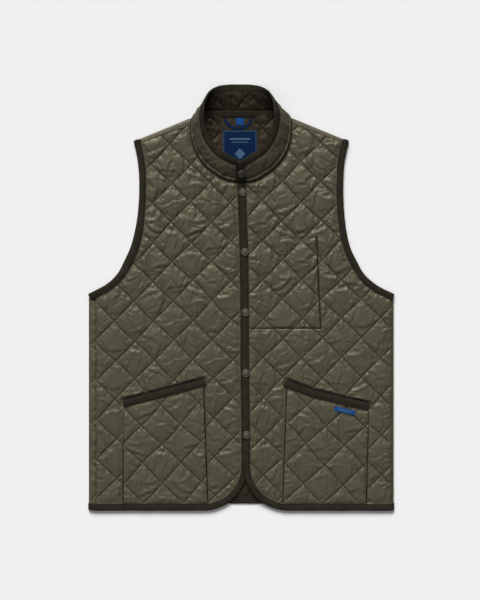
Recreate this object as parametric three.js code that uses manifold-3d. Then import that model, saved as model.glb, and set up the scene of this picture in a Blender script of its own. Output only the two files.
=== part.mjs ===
// A quilted vest with a stand collar, bound edges, two patch pockets and a snap front, lying on its back.
// Millimetres, +X to the right as seen from above, +Y towards the collar, +Z up from the surface.
import * as THREE from 'three'
import { mergeVertices } from 'three/addons/utils/BufferGeometryUtils.js'
import Module from 'manifold-3d'

const wasm = await Module()
wasm.setup()

// Cloth
const GAP = 0.3 // between sewn pieces, and between layers that lie on each other
const WALL = 3.6 // quilted cloth pressed flat, and a bound edge
const TAPE = 1.0 // one leg of a binding, a label, and the cloth's edge inside a binding
const BINDING_WIDTH = 12.5
const POCKET_BINDING_WIDTH = 13.5
const STITCH_HEIGHT = 2.0 // a front's cloth under a quilting stitch
const PUFF_HEIGHT = 5.4 // and in the middle of a diamond
const QUILT_HALF = 35.8 // half a diamond's diagonal: 2 inch squares turned by 45 degrees

// Body
const HALF_WIDTH = 280
const FRONT_HEM = -388.7
const BACK_HEM_RISE = 13 // the back's hem is this much higher in its middle
const OVERLAP = 9.1 // of the wearer's left front on the right one
const CORNER_RADIUS = 82 // at the foot of each front edge
const FRONT_Z = WALL + GAP // underside of the fronts
const LIFT = WALL + GAP // of the front edge that lies on the other one
const LIFT_FLAT = 15 // how far from its edge the upper front stays lifted
const LIFT_FADE = 30 // and over what width it comes down
const POCKET_Z = FRONT_Z + STITCH_HEIGHT + GAP

// Folds: the back reaches round each side and shoulder to a seam on the front
const FOLD_RADIUS = 4.0
const FOLD_REACH = 18 // how far into the back a fold's own section runs
const BINDING_FOLD_REACH = 5.2
const SIDE_LIP = { left: 5.6, right: 14 } // wearer's side
const SHOULDER_LIP = { left: { neck: 11, tip: 5.8 }, right: { neck: 14, tip: 6 } }

// Front edge of the wearer's left front, down to its rounded foot
const FRONT_EDGE = [
  { x: -4.5, y: 235 },
  { x: -3.6, y: 190 },
  { x: 0.1, y: 84 },
  { x: 1.6, y: -20 },
  { x: 2.0, y: -140 },
  { x: 3.6, y: -260 },
]

// Armhole's outer edge on the wearer's left side, from below the arm to the shoulder
const ARMHOLE = [
  { x: 306, y: -4 },
  { x: 280, y: 7 },
  { x: 247, y: 24 },
  { x: 224, y: 45 },
  { x: 207, y: 75 },
  { x: 198, y: 97 },
  { x: 191, y: 130 },
  { x: 187, y: 175 },
  { x: 186.5, y: 215 },
  { x: 189, y: 250 },
  { x: 197, y: 287.5 },
  { x: 202, y: 306 },
]

const SHOULDER_TIP = { x: 197, y: 287.5 }
const SHOULDER_NECK = { x: 92.6, y: 330.5 }
const BACK_NECK = 342

// Stand collar from the middle of the front to the middle of the back, on its outer face: neck seam and
// top edge, and how far it bows out between them
const COLLAR_HEIGHT = 48
const COLLAR_LEAN = -4 // its top edge lies this far to one side
const COLLAR = [
  { seam: [0, 208.5, 7.5], top: [0, 248, 34], bow: 2 },
  { seam: [30, 215, 7.5], top: [17, 256, 31], bow: 3 },
  { seam: [48, 225, 7.5], top: [28, 263, 29], bow: 4 },
  { seam: [64, 237, 7.5], top: [38, 271, 28], bow: 4 },
  { seam: [78, 254, 7.5], top: [51, 287, 29], bow: 4 },
  { seam: [87.5, 273, 7.5], top: [59, 303, 32], bow: 4 },
  { seam: [92, 293, 7.5], top: [63, 318, 36], bow: 3 },
  { seam: [93, 312, 7.3], top: [64.5, 333, 40], bow: 3 },
  { seam: [91.5, 328, 4.6], top: [64, 348, 39], bow: 2 },
  { seam: [82, 338, 0.6], top: [61, 363, 34], bow: 1 },
  { seam: [68, BACK_NECK, 0], top: [55, 376, 24], bow: 0 },
  { seam: [45, BACK_NECK, 0], top: [41, 386, 10], bow: 0 },
  { seam: [22, BACK_NECK, 0], top: [21, 390, 2], bow: 0 },
]
const COLLAR_BACK = { seam: [0, BACK_NECK, 0], top: [0, 390.7, 0], bow: 0 }
const COLLAR_STEP = 12
const COLLAR_TAPER = 14
const COLLAR_ROOM = 0.9 // kept clear round the collar where it turns over at the shoulders
const CORNER_SLOT = { from: 62, above: 322, width: 6 } // in the back, for the collar's foot at each shoulder

// Quilting lattice of each quilted piece: a crossing of its stitch lines, and its turn in degrees
const LATTICE = {
  front_left: { x: 74.7, y: 140.5, turn: 0.4 },
  front_right: { x: -53.1, y: -4.9, turn: 0.9 },
  pocket_left: { x: 114.5, y: -339.1, turn: -2.4 },
  pocket_right: { x: -217.1, y: -269.1, turn: 2.0 },
  collar: { x: 14, y: 30, turn: 0 },
}
const LATTICE_STEPS = [0, 0.14, 0.5, 0.86] // where a diamond's face has its points, along each stitch line
const EDGE_TAPER = 16 // over which the puffs grow from a seam or a binding

// Patch pockets: upper edge from one corner to the other, and the sides' places at the hem
const POCKET = {
  left: {
    mouth: [{ x: 234.9, y: -192.7 }, { x: 190, y: -182.5 }, { x: 130, y: -167.5 }, { x: 81.7, y: -148.8 }],
    foot: [73.3, 229.2],
  },
  right: {
    mouth: [{ x: -67.4, y: -147.5 }, { x: -145, y: -168.3 }, { x: -217.3, y: -186.7 }],
    foot: [-217.3, -59],
  },
}

// A square of stitching through the wearer's left front
const STITCH_GROOVE = 2.0
const CHEST_STITCH = [{ x: 137.7, y: 111.6 }, { x: 145.2, y: -55.6 }, { x: 12, y: -55.6 }]

// Snaps down the front edge, then one on the collar's end
const SNAP_YS = [192.7, 84, -26.7, -137, -250]
const SNAP_PROFILE = [[0, 0], [7.5, 0], [7.5, 1.1], [6.1, 1.7], [5.5, 1.3], [3.6, 2.2], [0, 2.5]]
const SNAP_SIDES = 14

// Inside the neck
const NECK_TAPE = { halfWidth: 62, width: 12 }
const LOOP = {
  width: 4.8,
  route: [{ x: -30, y: 328.2 }, { x: -27, y: 321 }, { x: -18, y: 313 }, { x: -5, y: 310 },
    { x: 8, y: 313 }, { x: 16, y: 321 }, { x: 18, y: 328.2 }],
}
const SIZE_TAB = { x: -2.7, y: 322.5, width: 14, height: 13 }
const NECK_LABEL = { x: -2.5, y: 270.5, width: 62, height: 72 }
const POCKET_LABEL = { x: 188.5, y: -205.5, width: 38, height: 8, turn: -13.5 }

const TALL = 90 // above everything

const vector = ({ x, y }) => new THREE.Vector2(x, y)
const smooth = t => THREE.MathUtils.smoothstep(t, 0, 1)

// Geometry with one closed surface, from points and triangles, as a solid
function solid(points, triangles) {
  let volume = 0
  for (const [a, b, c] of triangles) {
    volume += points[a].dot(new THREE.Vector3().crossVectors(points[b], points[c]))
  }
  const facing = volume > 0 ? triangles : triangles.map(([a, b, c]) => [a, c, b])
  return new wasm.Manifold(new wasm.Mesh({
    numProp: 3,
    vertProperties: new Float32Array(points.flatMap(p => p.toArray())),
    triVerts: new Uint32Array(facing.flat()),
  }))
}

function solidOf(geometry) {
  const bare = geometry.clone()
  bare.deleteAttribute('normal')
  bare.deleteAttribute('uv')
  const merged = mergeVertices(bare, 1e-4)
  const place = merged.attributes.position
  const points = Array.from({ length: place.count }, (_, i) => new THREE.Vector3().fromBufferAttribute(place, i))
  const corners = Array.from(merged.index.array)
  const triangles = []
  for (let i = 0; i < corners.length; i += 3) {
    const [a, b, c] = corners.slice(i, i + 3)
    if (a !== b && b !== c && c !== a) triangles.push([a, b, c])
  }
  return solid(points, triangles)
}

function geometryOf(body) {
  const { vertProperties, triVerts } = body.getMesh()
  const geometry = new THREE.BufferGeometry()
  geometry.setAttribute('position', new THREE.BufferAttribute(new Float32Array(vertProperties), 3))
  geometry.setIndex(Array.from(triVerts))
  geometry.computeVertexNormals()
  return geometry
}

// A vertical-sided body over a closed outline
function prism(outline, low, high) {
  const geometry = new THREE.ExtrudeGeometry(new THREE.Shape(outline), { depth: high - low, bevelEnabled: false })
  return solidOf(geometry.translate(0, 0, low))
}

// For each point of a path, the step to its left that keeps parallel lines parallel round the corners
function mitres(path) {
  return path.map((point, i) => {
    const next = path[Math.min(i + 1, path.length - 1)]
    const last = path[Math.max(i - 1, 0)]
    const out = next.clone().sub(point).normalize()
    const into = point.clone().sub(last).normalize()
    if (i === 0) into.copy(out)
    if (i === path.length - 1) out.copy(into)
    const left = new THREE.Vector2(-into.y - out.y, into.x + out.x).normalize()
    return left.divideScalar(left.dot(new THREE.Vector2(-into.y, into.x)))
  })
}

function offset(path, inset) {
  const steps = mitres(path)
  return path.map((point, i) => point.clone().addScaledVector(steps[i], inset))
}

const flatPlace = low => (x, y, height) => new THREE.Vector3(x, y, low + height)

// A body swept along a path: sectionAt gives its corners as [inset from the path, height]
function strip(path, sectionAt, place) {
  const steps = mitres(path)
  const points = []
  const triangles = []
  const first = sectionAt(0)
  const count = first.length
  path.forEach((point, i) => {
    for (const [inset, height] of sectionAt(i / (path.length - 1))) {
      const at = point.clone().addScaledVector(steps[i], inset)
      points.push(place(at.x, at.y, height))
    }
  })
  for (let i = 0; i + 1 < path.length; i++) {
    for (let j = 0; j < count; j++) {
      const a = i * count + j
      const b = i * count + (j + 1) % count
      triangles.push([a, b, b + count], [a, b + count, a + count])
    }
  }
  const contour = first.map(([x, y]) => new THREE.Vector2(x, y))
  const turn = Math.sign(THREE.ShapeUtils.area(contour))
  const end = (path.length - 1) * count
  for (const face of THREE.ShapeUtils.triangulateShape(contour, [])) {
    const same = Math.sign(THREE.ShapeUtils.area(face.map(k => contour[k]))) === turn
    const [a, b, c] = same ? face : [face[0], face[2], face[1]]
    triangles.push([a, c, b], [end + a, end + b, end + c])
  }
  return solid(points, triangles)
}

// What lies between two insets of a path, from far below to far above
function band(path, from, to) {
  const far = 100
  const reach = typeof to === 'function' ? to : () => to
  return strip(path, t => [[from, -far], [reach(t), -far], [reach(t), far], [from, far]], flatPlace(0))
}

// A folded tape's section round the cloth's edge, open towards the cloth
const tapeSection = width => () => [
  [width, 0], [1, 0], [0, 1], [0, WALL - 1], [1, WALL], [width, WALL],
  [width, WALL - TAPE], [TAPE + 0.2, WALL - TAPE], [TAPE + 0.2, TAPE], [width, TAPE],
]

// The cloth's pressed edge, which runs into a binding
const edgeSection = width => () => {
  const low = TAPE + GAP
  const high = WALL - TAPE - GAP
  const start = TAPE + 0.2 + GAP
  return [[start, low], [width + 3, low], [width + 3, high], [start, high]]
}

// Cloth that turns over at a fold: under side, round end, and a lip on the upper layer
const foldSection = (lipAt, reach) => t => {
  const top = FRONT_Z + WALL
  const lip = lipAt(t)
  return [
    [reach, 0], [FOLD_RADIUS, 0], [FOLD_RADIUS * 0.3, FOLD_RADIUS * 0.28], [0, top / 2],
    [FOLD_RADIUS * 0.3, top - FOLD_RADIUS * 0.28], [FOLD_RADIUS, top], [lip, top], [lip, FRONT_Z],
    [FOLD_RADIUS, FRONT_Z], [FOLD_RADIUS, WALL], [reach, WALL],
  ]
}

// A closed body between an outer and an inner grid of points
function between(outer, inner) {
  const rows = outer.length
  const columns = outer[0].length
  const points = [...outer.flat(), ...inner.flat()]
  const under = rows * columns
  const at = (i, j) => i * columns + j
  const triangles = []
  for (let i = 0; i + 1 < rows; i++) {
    for (let j = 0; j + 1 < columns; j++) {
      const [a, b, c, d] = [at(i, j), at(i + 1, j), at(i + 1, j + 1), at(i, j + 1)]
      triangles.push([a, b, c], [a, c, d], [under + a, under + c, under + b], [under + a, under + d, under + c])
    }
  }
  const wall = (a, b) => triangles.push([a, under + b, b], [a, under + a, under + b])
  for (let i = 0; i + 1 < rows; i++) {
    wall(at(i, 0), at(i + 1, 0))
    wall(at(i + 1, columns - 1), at(i, columns - 1))
  }
  for (let j = 0; j + 1 < columns; j++) {
    wall(at(0, j + 1), at(0, j))
    wall(at(rows - 1, j), at(rows - 1, j + 1))
  }
  return solid(points, triangles)
}

// Quilting: a point's place across the two families of stitch lines, which lie at whole numbers
function latticeFrame({ x, y, turn }) {
  const angle = THREE.MathUtils.degToRad(turn)
  const across = new THREE.Vector2(Math.cos(angle), Math.sin(angle)).divideScalar(2 * QUILT_HALF)
  const along = new THREE.Vector2(-Math.sin(angle), Math.cos(angle)).divideScalar(2 * QUILT_HALF)
  const origin = new THREE.Vector2(x, y)
  const toLattice = point => {
    const from = point.clone().sub(origin)
    return [from.dot(across) + from.dot(along), from.dot(across) - from.dot(along)]
  }
  const side = 4 * QUILT_HALF * QUILT_HALF
  const toPlane = (a, b) => origin.clone()
    .addScaledVector(across, (a + b) / 2 * side)
    .addScaledVector(along, (a - b) / 2 * side)
  return { toLattice, toPlane }
}

const puffAcross = f => Math.sqrt(Math.sin(Math.PI * f))

// Distance from a point to the nearest of some paths
function distanceTo(paths, point) {
  let nearest = Infinity
  const segment = new THREE.Line3()
  const target = new THREE.Vector3()
  const spot = new THREE.Vector3(point.x, point.y, 0)
  for (const path of paths) {
    for (let i = 0; i + 1 < path.length; i++) {
      segment.start.set(path[i].x, path[i].y, 0)
      segment.end.set(path[i + 1].x, path[i + 1].y, 0)
      segment.closestPointToPoint(spot, true, target)
      nearest = Math.min(nearest, target.distanceTo(spot))
    }
  }
  return nearest
}

// Quilting raised on top of a deep block, over the whole box round an outline
function quilting(lattice, outline, edges, place) {
  const { toLattice, toPlane } = latticeFrame(lattice)
  const box = new THREE.Box2().setFromPoints(outline)
  const corners = [box.min, box.max, new THREE.Vector2(box.min.x, box.max.y), new THREE.Vector2(box.max.x, box.min.y)]
  const spans = [0, 1].map(k => {
    const values = corners.map(corner => toLattice(corner)[k])
    const steps = []
    for (let n = Math.floor(Math.min(...values)); n < Math.max(...values) + 1; n++) {
      steps.push(...LATTICE_STEPS.map(f => [n + f, f]))
    }
    return steps
  })
  const top = spans[0].map(([a, fa]) => spans[1].map(([b, fb]) => {
    const point = toPlane(a, b)
    const near = smooth(distanceTo(edges, point) / EDGE_TAPER)
    const puff = (PUFF_HEIGHT - STITCH_HEIGHT) * puffAcross(fa) * puffAcross(fb) * near
    return place(point.x, point.y, STITCH_HEIGHT + puff)
  }))
  const foot = top.map(row => row.map(point => point.clone().setZ(-TALL)))
  return between(top, foot)
}

// Paths, each with the garment on its left
const curveThrough = (rows, steps) => new THREE.SplineCurve(rows.map(vector)).getSpacedPoints(steps)
const mirrored = path => path.map(point => new THREE.Vector2(-point.x, point.y)).reverse()
const bothWays = path => ({ left: path, right: mirrored(path) })
const mix = THREE.MathUtils.lerp

function frontEdgeX(y) {
  const rows = [...FRONT_EDGE].reverse()
  const k = Math.max(rows.findIndex(row => row.y > y), 1)
  return THREE.MathUtils.mapLinear(y, rows[k - 1].y, rows[k].y, rows[k - 1].x, rows[k].x)
}

// Down a front edge, round its foot and along the hem to the side: towards +X for the wearer's left
function openingPath(side) {
  const [shift, way] = side === 'left' ? [0, 1] : [OVERLAP, -1]
  const path = FRONT_EDGE.map(({ x, y }) => new THREE.Vector2(x + shift, y))
  const foot = path.at(-1)
  const corner = new THREE.Vector2(foot.x + way * CORNER_RADIUS, FRONT_HEM + CORNER_RADIUS)
  const bends = 9
  for (let i = 0; i <= bends; i++) {
    const angle = i / bends * Math.PI / 2
    path.push(corner.clone().add(new THREE.Vector2(-way * Math.cos(angle), -Math.sin(angle))
      .multiplyScalar(CORNER_RADIUS)))
  }
  for (const x of [170, HALF_WIDTH + 10]) path.push(new THREE.Vector2(way * x, FRONT_HEM))
  return side === 'left' ? path : path.reverse()
}

function backHemPath() {
  const steps = 12
  const reach = HALF_WIDTH + 12
  return Array.from({ length: steps + 1 }, (_, i) => {
    const across = i / steps * 2 - 1
    return new THREE.Vector2(across * reach, FRONT_HEM + BACK_HEM_RISE * (1 - across * across))
  })
}

const SIDES = ['left', 'right']
const tip = vector(SHOULDER_TIP)
const neckPoint = vector(SHOULDER_NECK)
const underarm = new THREE.Vector2(HALF_WIDTH, 7)
const armhole = bothWays(curveThrough(ARMHOLE, 19))
const sideFold = bothWays([-430, 60].map(y => new THREE.Vector2(HALF_WIDTH, y)))
const shoulderFold = bothWays([-0.1, 1.04].map(t => tip.clone().lerp(neckPoint, t)))
const opening = { left: openingPath('left'), right: openingPath('right') }
const backHem = backHemPath()
const sideLip = side => () => SIDE_LIP[side]
const shoulderLip = side => t => {
  const { neck, tip: narrow } = SHOULDER_LIP[side]
  return mix(narrow, neck, side === 'left' ? t : 1 - t)
}

// The collar as a sheet: s runs along it from the end that lies on top, v up from the neck seam
const collarRows = [...COLLAR, COLLAR_BACK, ...COLLAR.map(row => ({
  ...row, seam: [-row.seam[0], row.seam[1], row.seam[2]], top: [-row.top[0], row.top[1], row.top[2]],
})).reverse()]
const endX = { upper: frontEdgeX(COLLAR[0].seam[1]), under: frontEdgeX(COLLAR[0].seam[1]) + OVERLAP }

function collarLine(column, lean) {
  const points = collarRows.map(row => new THREE.Vector3(...row[column]).add(new THREE.Vector3(lean, 0, 0)))
  points[0].x = endX.upper + lean
  points.at(-1).x = endX.under + lean
  return new THREE.CatmullRomCurve3(points)
}

const seamLine = collarLine('seam', 0)
const topLine = collarLine('top', COLLAR_LEAN)
const bowLine = new THREE.CatmullRomCurve3(collarRows.map(row => new THREE.Vector3(row.bow, 0, 0)))
const middleLine = new THREE.CatmullRomCurve3(Array.from({ length: 121 }, (_, i) =>
  seamLine.getPoint(i / 120).lerp(topLine.getPoint(i / 120), 0.5)))
const COLLAR_LENGTH = middleLine.getLength()
const SEAM_TURN = 8 // over this height the collar turns from its seam's facing to its own

function collarSheet(s, v) {
  const along = THREE.MathUtils.clamp(s / COLLAR_LENGTH, 0, 1)
  const t = middleLine.getUtoTmapping(along)
  return { t, point: seamLine.getPoint(t).lerp(topLine.getPoint(t), v / COLLAR_HEIGHT) }
}

function collarNormal(s, v) {
  const ahead = collarSheet(s + 2, v).point.sub(collarSheet(s - 2, v).point)
  const { t } = collarSheet(s, v)
  const up = topLine.getPoint(t).sub(seamLine.getPoint(t))
  const out = ahead.cross(up).normalize()
  const level = THREE.MathUtils.clamp(seamLine.getPoint(t).z / (FRONT_Z + WALL) * 2 - 1, -1, 1)
  const flat = new THREE.Vector3(out.x, out.y, 0).normalize().multiplyScalar(Math.sqrt(1 - level * level))
  const seamFacing = flat.setZ(level)
  return out.lerp(seamFacing, 1 - smooth(v / SEAM_TURN)).normalize()
}

function collarPoint(s, v, height) {
  const { t, point } = collarSheet(s, v)
  const share = v / COLLAR_HEIGHT
  const lift = LIFT * (1 - smooth((s - LIFT_FLAT) / LIFT_FADE))
  const bow = bowLine.getPoint(t).x * 4 * share * (1 - share)
  return point.addScaledVector(collarNormal(s, v), height - WALL + lift + bow)
}

function collarPlace(s, v, height) {
  const point = collarPoint(s, v, height)
  return point.setZ(Math.max(point.z, 0))
}

const collarEnd = BINDING_WIDTH + GAP
const collarSteps = Math.round((COLLAR_LENGTH - 2 * collarEnd) / COLLAR_STEP)
const collarStations = Array.from({ length: collarSteps + 1 }, (_, i) =>
  mix(collarEnd, COLLAR_LENGTH - collarEnd, i / collarSteps))

const collarLattice = latticeFrame(LATTICE.collar)
const COLLAR_CLOTH_TOP = COLLAR_HEIGHT - BINDING_WIDTH - GAP

function collarPuff(s, v) {
  const [a, b] = collarLattice.toLattice(new THREE.Vector2(s, v)).map(value => value - Math.floor(value))
  const ends = Math.min(s - BINDING_WIDTH, COLLAR_LENGTH - BINDING_WIDTH - s)
  const near = smooth(Math.min(v + 2, COLLAR_CLOTH_TOP - v + 2, ends + 2) / COLLAR_TAPER)
  const facing = smooth((collarNormal(s, v).z + 0.6) / 0.5) // none where it lies on the surface
  return (PUFF_HEIGHT - STITCH_HEIGHT) * puffAcross(a) * puffAcross(b) * near * facing
}

const collarEdge = [
  [COLLAR_LENGTH, 0], [COLLAR_LENGTH, COLLAR_HEIGHT * 0.6], [COLLAR_LENGTH, COLLAR_HEIGHT],
  ...collarStations.toReversed().map(s => [s, COLLAR_HEIGHT]),
  [0, COLLAR_HEIGHT], [0, COLLAR_HEIGHT * 0.6], [0, 0],
].map(([s, v]) => new THREE.Vector2(s, v))

// Its cloth, with a pressed edge that runs into the binding
function collar() {
  const path = collarStations.map(s => new THREE.Vector2(s, 0))
  const top = COLLAR_HEIGHT - TAPE - 0.5
  const tongue = [[COLLAR_CLOTH_TOP, TAPE + GAP], [top, TAPE + GAP],
    [top, WALL - TAPE - GAP], [COLLAR_CLOTH_TOP, WALL - TAPE - GAP]]
  const rows = 6
  const sectionAt = t => {
    const s = mix(path[0].x, path.at(-1).x, t)
    const outer = Array.from({ length: rows + 1 }, (_, j) => {
      const v = COLLAR_CLOTH_TOP * (1 - j / rows)
      return [v, WALL + collarPuff(s, v)]
    })
    return [[0, 0], [COLLAR_CLOTH_TOP / 2, 0], [COLLAR_CLOTH_TOP, 0], ...tongue, ...outer]
  }
  return strip(path, sectionAt, collarPlace)
}

// What the collar takes up beside the other pieces, with room all round
function collarRoom() {
  const rows = 12
  const grid = height => [-GAP, ...collarStations, COLLAR_LENGTH + GAP].map(s =>
    Array.from({ length: rows + 1 }, (_, j) =>
      collarPoint(s, mix(-GAP, COLLAR_HEIGHT + GAP, j / rows), height)))
  return between(grid(WALL + COLLAR_ROOM), grid(-COLLAR_ROOM))
}

// Outlines
const ringSteps = 90
const seamRing = seamLine.getPoints(ringSteps).map(({ x, y }) => new THREE.Vector2(x, y))
  .filter((point, i) => (point.x > 0) === (i < ringSteps / 2)) // without the ends' overlap
const neckOpening = [
  ...offset(seamRing, -GAP),
  ...[endX.upper - 1, endX.under + 1].map(x => new THREE.Vector2(x, COLLAR[0].seam[1] - GAP)),
]
const backNeck = offset(seamRing, GAP).filter(point => point.y > COLLAR[8].seam[1])
const armholeInside = armhole.left.filter(point => point.x < HALF_WIDTH && point.y < SHOULDER_TIP.y - 2)
const outerSide = [underarm, ...armholeInside, tip, neckPoint]

function frontOutline(side) {
  const path = opening[side].map(point => new THREE.Vector2(
    THREE.MathUtils.clamp(point.x, -HALF_WIDTH, HALF_WIDTH), point.y))
  return side === 'left' ? [...path, ...outerSide] : [...mirrored(outerSide), ...path]
}

const backOutline = [
  ...backHem.map(point => new THREE.Vector2(THREE.MathUtils.clamp(point.x, -HALF_WIDTH, HALF_WIDTH), point.y)),
  ...outerSide, ...backNeck, ...mirrored(outerSide),
]
const wholeOutline = [
  new THREE.Vector2(-HALF_WIDTH, FRONT_HEM), new THREE.Vector2(HALF_WIDTH, FRONT_HEM),
  ...outerSide, ...mirrored(outerSide),
]
const wholeRoom = prism(wholeOutline, -1, TALL)
const neckRoom = prism(neckOpening, -1, TALL)
const takenByCollar = collarRoom()
const boundWidth = BINDING_WIDTH + GAP
const OUTSIDE = 6 // how far a cut runs past an edge
const PAST_FOLD = 40
const bound = path => band(path, -OUTSIDE, boundWidth)
const without = (body, cutters) => cutters.reduce((rest, cutter) => rest.subtract(cutter), body)

const foldBands = (side, lips) => [
  band(sideFold[side], -PAST_FOLD, lips.side),
  band(shoulderFold[side], -PAST_FOLD, lips.shoulder),
]
const seamLips = side => ({
  side: () => SIDE_LIP[side] + GAP,
  shoulder: t => shoulderLip(side)(t) + GAP,
})
const plainLips = width => ({ side: () => width, shoulder: () => width })

const frontPlace = {
  left: (x, y, height) => {
    const lift = LIFT * (1 - smooth((x - frontEdgeX(y) - LIFT_FLAT) / LIFT_FADE))
    return new THREE.Vector3(x, y, FRONT_Z + height + lift)
  },
  right: flatPlace(FRONT_Z),
}

function pocketOutline(side) {
  const [first, last] = POCKET[side].foot
  return [...POCKET[side].mouth.map(vector), new THREE.Vector2(first, FRONT_HEM), new THREE.Vector2(last, FRONT_HEM)]
}

function front(side) {
  const outline = frontOutline(side)
  const place = frontPlace[side]
  const seams = [...foldBands(side, seamLips(side)), neckRoom]
  const edges = [offset(opening[side], boundWidth), offset(armhole[side], boundWidth), seamRing,
    offset(sideFold[side], SIDE_LIP[side]), offset(shoulderFold[side], SHOULDER_LIP[side].tip)]
  const cloth = quilting(LATTICE[`front_${side}`], outline, edges, place).intersect(prism(outline, FRONT_Z, TALL))
  const panel = without(cloth, [...seams, bound(opening[side]), bound(armhole[side])])
  const edge = path => without(strip(path, edgeSection(BINDING_WIDTH), place), seams)
  const pressed = prism(pocketOutline(side), FRONT_Z + STITCH_HEIGHT, TALL).add(pocketMouthRoom(side))
  const own = side === 'left' ? panel.subtract(liftRoom()).subtract(chestGroove()) : panel
  return own.add(edge(opening[side])).add(edge(armhole[side])).subtract(takenByCollar).subtract(pressed)
}

// The space under the lifted front edge
function liftRoom() {
  const path = [240, 84, -20, -140, -260, -400].map(y => new THREE.Vector2(frontEdgeX(y), y))
  const steps = 6
  const slope = Array.from({ length: steps + 1 }, (_, i) => [
    LIFT_FLAT + LIFT_FADE * i / steps, FRONT_Z + LIFT * (1 - smooth(i / steps))])
  const section = [[-5, 0], ...slope.toReversed(), [-5, FRONT_Z + LIFT]]
  return strip(path, () => section, flatPlace(0))
}

function pocketMouthRoom(side) {
  const path = POCKET[side].mouth.map(vector)
  for (const [end, next] of [[0, 1], [path.length - 1, path.length - 2]]) {
    path[end].add(path[end].clone().sub(path[next]).setLength(2 * GAP))
  }
  const low = FRONT_Z + STITCH_HEIGHT
  const wide = POCKET_BINDING_WIDTH + GAP
  return strip(path, () => [[-GAP, low], [wide, low], [wide, TALL], [-GAP, TALL]], flatPlace(0))
}

function chestGroove() {
  const path = CHEST_STITCH.map(vector)
  const low = FRONT_Z + STITCH_HEIGHT
  const half = STITCH_GROOVE / 2
  return strip(path, () => [[-half, low], [half, low], [half, TALL], [-half, TALL]], flatPlace(0))
}

const foldBody = (path, lipAt, reach) => strip(path, foldSection(lipAt, reach), flatPlace(0))

function back() {
  const edges = [backHem, armhole.left, armhole.right]
  const folds = SIDES.flatMap(side => foldBands(side, plainLips(FOLD_RADIUS)))
  const slab = without(prism(backOutline, 0, WALL), [...folds, ...edges.map(bound)])
  const tapeEnds = SIDES.flatMap(side => foldBands(side, plainLips(BINDING_FOLD_REACH + GAP)))
  const edge = path => without(strip(path, edgeSection(BINDING_WIDTH), flatPlace(0)), tapeEnds)
  const lips = SIDES.flatMap(side => [
    foldBody(sideFold[side], sideLip(side), FOLD_REACH),
    foldBody(shoulderFold[side], shoulderLip(side), FOLD_REACH),
  ]).map(lip => without(lip.intersect(wholeRoom), [...edges.map(bound), neckRoom.trimByPlane([0, 0, 1], WALL)]))
  const corners = [1, -1].map(way => band(seamRing.filter(point =>
    point.x * way > CORNER_SLOT.from && point.y > CORNER_SLOT.above), -GAP, CORNER_SLOT.width))
  const whole = [...edges.map(edge), ...lips].reduce((sum, piece) => sum.add(piece), slab)
  return without(whole, [...corners, takenByCollar])
}

// The part of a binding that turns over at a fold
function turnOver(path, fold, lipAt) {
  return foldBody(fold, lipAt, BINDING_FOLD_REACH).intersect(wholeRoom).intersect(band(path, 0, BINDING_WIDTH))
}

function frontBinding(side) {
  const tape = strip(opening[side], tapeSection(BINDING_WIDTH), frontPlace[side])
  return without(tape, [band(sideFold[side], -PAST_FOLD, SIDE_LIP[side] + GAP), neckRoom, takenByCollar])
}

function backHemBinding() {
  const tape = strip(backHem, tapeSection(BINDING_WIDTH), flatPlace(0))
  const folds = SIDES.map(side => band(sideFold[side], -PAST_FOLD, FOLD_RADIUS))
  const turns = SIDES.map(side => turnOver(backHem, sideFold[side], sideLip(side)))
  return turns.reduce((sum, piece) => sum.add(piece), without(tape, folds))
}

function armholeBinding(side) {
  const folds = foldBands(side, plainLips(FOLD_RADIUS))
  const runs = [0, FRONT_Z].map(low =>
    without(strip(armhole[side], tapeSection(BINDING_WIDTH), flatPlace(low)).intersect(wholeRoom), folds))
  const turns = [sideFold[side], shoulderFold[side]].map(fold =>
    turnOver(armhole[side], fold, () => BINDING_FOLD_REACH))
  return [...runs, ...turns].reduce((sum, piece) => sum.add(piece))
}

const collarBinding = () => strip(collarEdge, tapeSection(BINDING_WIDTH), collarPlace)

function pocket(side) {
  const outline = pocketOutline(side)
  const mouth = POCKET[side].mouth.map(vector)
  const place = flatPlace(POCKET_Z)
  const edges = [offset(mouth, POCKET_BINDING_WIDTH), [...outline.slice(mouth.length - 1), outline[0]]]
  const cloth = quilting(LATTICE[`pocket_${side}`], outline, edges, place)
    .intersect(prism(outline, POCKET_Z, TALL))
  const panel = without(cloth, [band(mouth, -1, POCKET_BINDING_WIDTH + GAP)])
  const edge = strip(mouth, edgeSection(POCKET_BINDING_WIDTH), place)
  const whole = without(panel.add(edge).intersect(prism(outline, -1, TALL)), [bound(opening[side])])
  return side === 'left' ? whole.subtract(labelRoom()) : whole
}

const pocketBinding = side => strip(
  POCKET[side].mouth.map(vector), tapeSection(POCKET_BINDING_WIDTH), flatPlace(POCKET_Z))

// Labels and trim
const LABEL_Z = POCKET_Z + WALL + GAP

function plate({ x, y, width, height, turn = 0 }, low, thickness) {
  return new THREE.BoxGeometry(width, height, thickness)
    .rotateZ(THREE.MathUtils.degToRad(turn)).translate(x, y, low + thickness / 2)
}

function labelRoom() {
  const grown = { ...POCKET_LABEL, width: POCKET_LABEL.width + 1, height: POCKET_LABEL.height + 1 }
  return solidOf(plate(grown, LABEL_Z - GAP, TALL))
}

function snap(position, normal) {
  const profile = SNAP_PROFILE.map(([r, z]) => new THREE.Vector2(r, z))
  const turn = new THREE.Quaternion().setFromUnitVectors(new THREE.Vector3(0, 0, 1), normal)
  const upright = new THREE.LatheGeometry(profile, SNAP_SIDES).rotateX(Math.PI / 2)
  const geometry = geometryOf(solidOf(upright))
  return geometry.applyQuaternion(turn).translate(position.x, position.y, position.z)
}

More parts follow.
